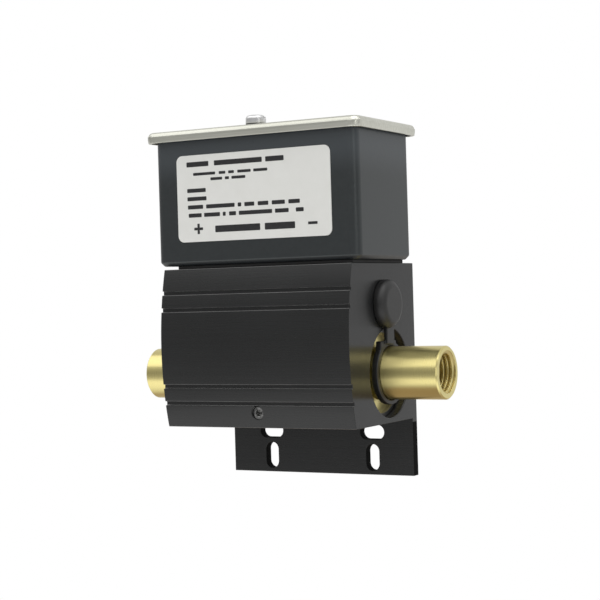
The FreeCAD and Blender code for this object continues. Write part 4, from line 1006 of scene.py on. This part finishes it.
def spring_length(left):
    """The spring on the left or the right of the cut, with its cut closed."""
    shape = bmesh.new()
    shape.from_mesh(frame["nodes"]["range_spring"].data)
    bmesh.ops.remove_doubles(shape, verts=shape.verts, dist=SAME_PLACE)
    whole = shape.verts[:] + shape.edges[:] + shape.faces[:]
    bmesh.ops.bisect_plane(
        shape, geom=whole, plane_co=(SPRING_CUT, 0, 0), plane_no=(1, 0, 0),
        clear_outer=left, clear_inner=not left)
    bmesh.ops.holes_fill(shape, edges=[edge for edge in shape.edges if edge.is_boundary])
    for face in shape.faces:
        face.smooth = True
    print("spring open edges:", sum(edge.is_boundary for edge in shape.edges))
    return shape


bend_between("range_spring_lever_end", "range_spring", spring_length(True))
bend_between("range_spring_seat_end", "range_spring", spring_length(False))
for node in ("diaphragm_low", "diaphragm_high"):
    bend_between(node + "_dressed", node, joined_shape(node))

# %% [markdown]
# ## The label's print
# The label is a plain off-white film. What is printed on it here is only what any such switch
# needs, a plus for the high pressure side and a minus for the low one, with plain bars where a
# maker would set words. The bars are thin raised plates with rounded ends, so they stay crisp
# at any distance.

# %% Label print
label_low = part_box("label")[0]
INK = 0.03 * MM
PRINT_ROWS = [
    (23.4, 1.5, [(3.6, 7.8), (13.4, 16.6), (31.2, 6.2)]),
    (20.4, 0.85, [(5.9, 7.8), (15.0, 2.3), (18.3, 2.0), (21.5, 4.6), (27.0, 4.8)]),
    (18.7, 0.85, [(12.0, 4.1), (17.1, 1.4), (19.4, 4.8)]),
    (15.5, 1.2, [(3.6, 6.6)]),
    (13.0, 1.2, [(3.6, 6.8)]),
    (10.5, 1.2, [(3.7, 5.4), (10.2, 10.0), (21.3, 1.2), (23.6, 3.4), (28.2, 3.6), (33.0, 4.4), (38.6, 3.8)]),
    (8.0, 1.2, [(3.9, 4.6), (9.4, 5.6), (16.0, 1.0), (18.2, 2.4), (21.6, 11.4), (34.0, 4.6), (41.0, 2.6)]),
    (3.6, 2.0, [(13.2, 15.6), (30.4, 10.2)]),
]
BAR_CORNER = 0.22
CORNER_POINTS = 5
CORNER_STEP = 22.5
MARK_LENGTH = 3.1
MARK_STROKE = 0.8
MARK_CORNER = 0.1
PLUS_X = 7.3
MINUS_X = 46.5
MARK_Z = 3.9


def add_bar(shape, left, bottom, width, height, corner):
    """Add one rounded bar of ink, in millimetres from the label's lower left corner."""
    outline = []
    for centre_x, centre_z, start in (
        (left + width - corner, bottom + height - corner, 0),
        (left + corner, bottom + height - corner, 90),
        (left + corner, bottom + corner, 180),
        (left + width - corner, bottom + corner, 270),
    ):
        for step in range(CORNER_POINTS):
            angle = math.radians(start + CORNER_STEP * step)
            outline.append((centre_x + corner * math.cos(angle), centre_z + corner * math.sin(angle)))
    places = [(label_low.x + x * MM, label_low.z + z * MM) for x, z in outline]
    ring = [shape.verts.new((x, label_low.y - INK, z)) for x, z in places]
    base = [shape.verts.new((x, label_low.y + INK, z)) for x, z in places]
    shape.faces.new(list(reversed(ring)))
    shape.faces.new(base)
    for step in range(len(ring)):
        after = (step + 1) % len(ring)
        shape.faces.new((ring[step], base[step], base[after], ring[after]))


def print_label():
    """Set the bars and the port marks."""
    shape = bmesh.new()
    for centre, height, bars in PRINT_ROWS:
        for left, width in bars:
            add_bar(shape, left, centre - height / 2, width, height, BAR_CORNER)
    for centre in (PLUS_X, MINUS_X):
        left = centre - MARK_LENGTH / 2
        add_bar(shape, left, MARK_Z - MARK_STROKE / 2, MARK_LENGTH, MARK_STROKE, MARK_CORNER)
    arm = (MARK_LENGTH - MARK_STROKE) / 2
    for bottom in (MARK_Z - MARK_LENGTH / 2, MARK_Z + MARK_STROKE / 2):
        add_bar(shape, PLUS_X - MARK_STROKE / 2, bottom, MARK_STROKE, arm, MARK_CORNER)
    piece = add_piece("label_print", shape)
    seat_piece(piece, "label", "print_black")
    return piece


printed = print_label()
print("label print faces:", len(printed.data.polygons))
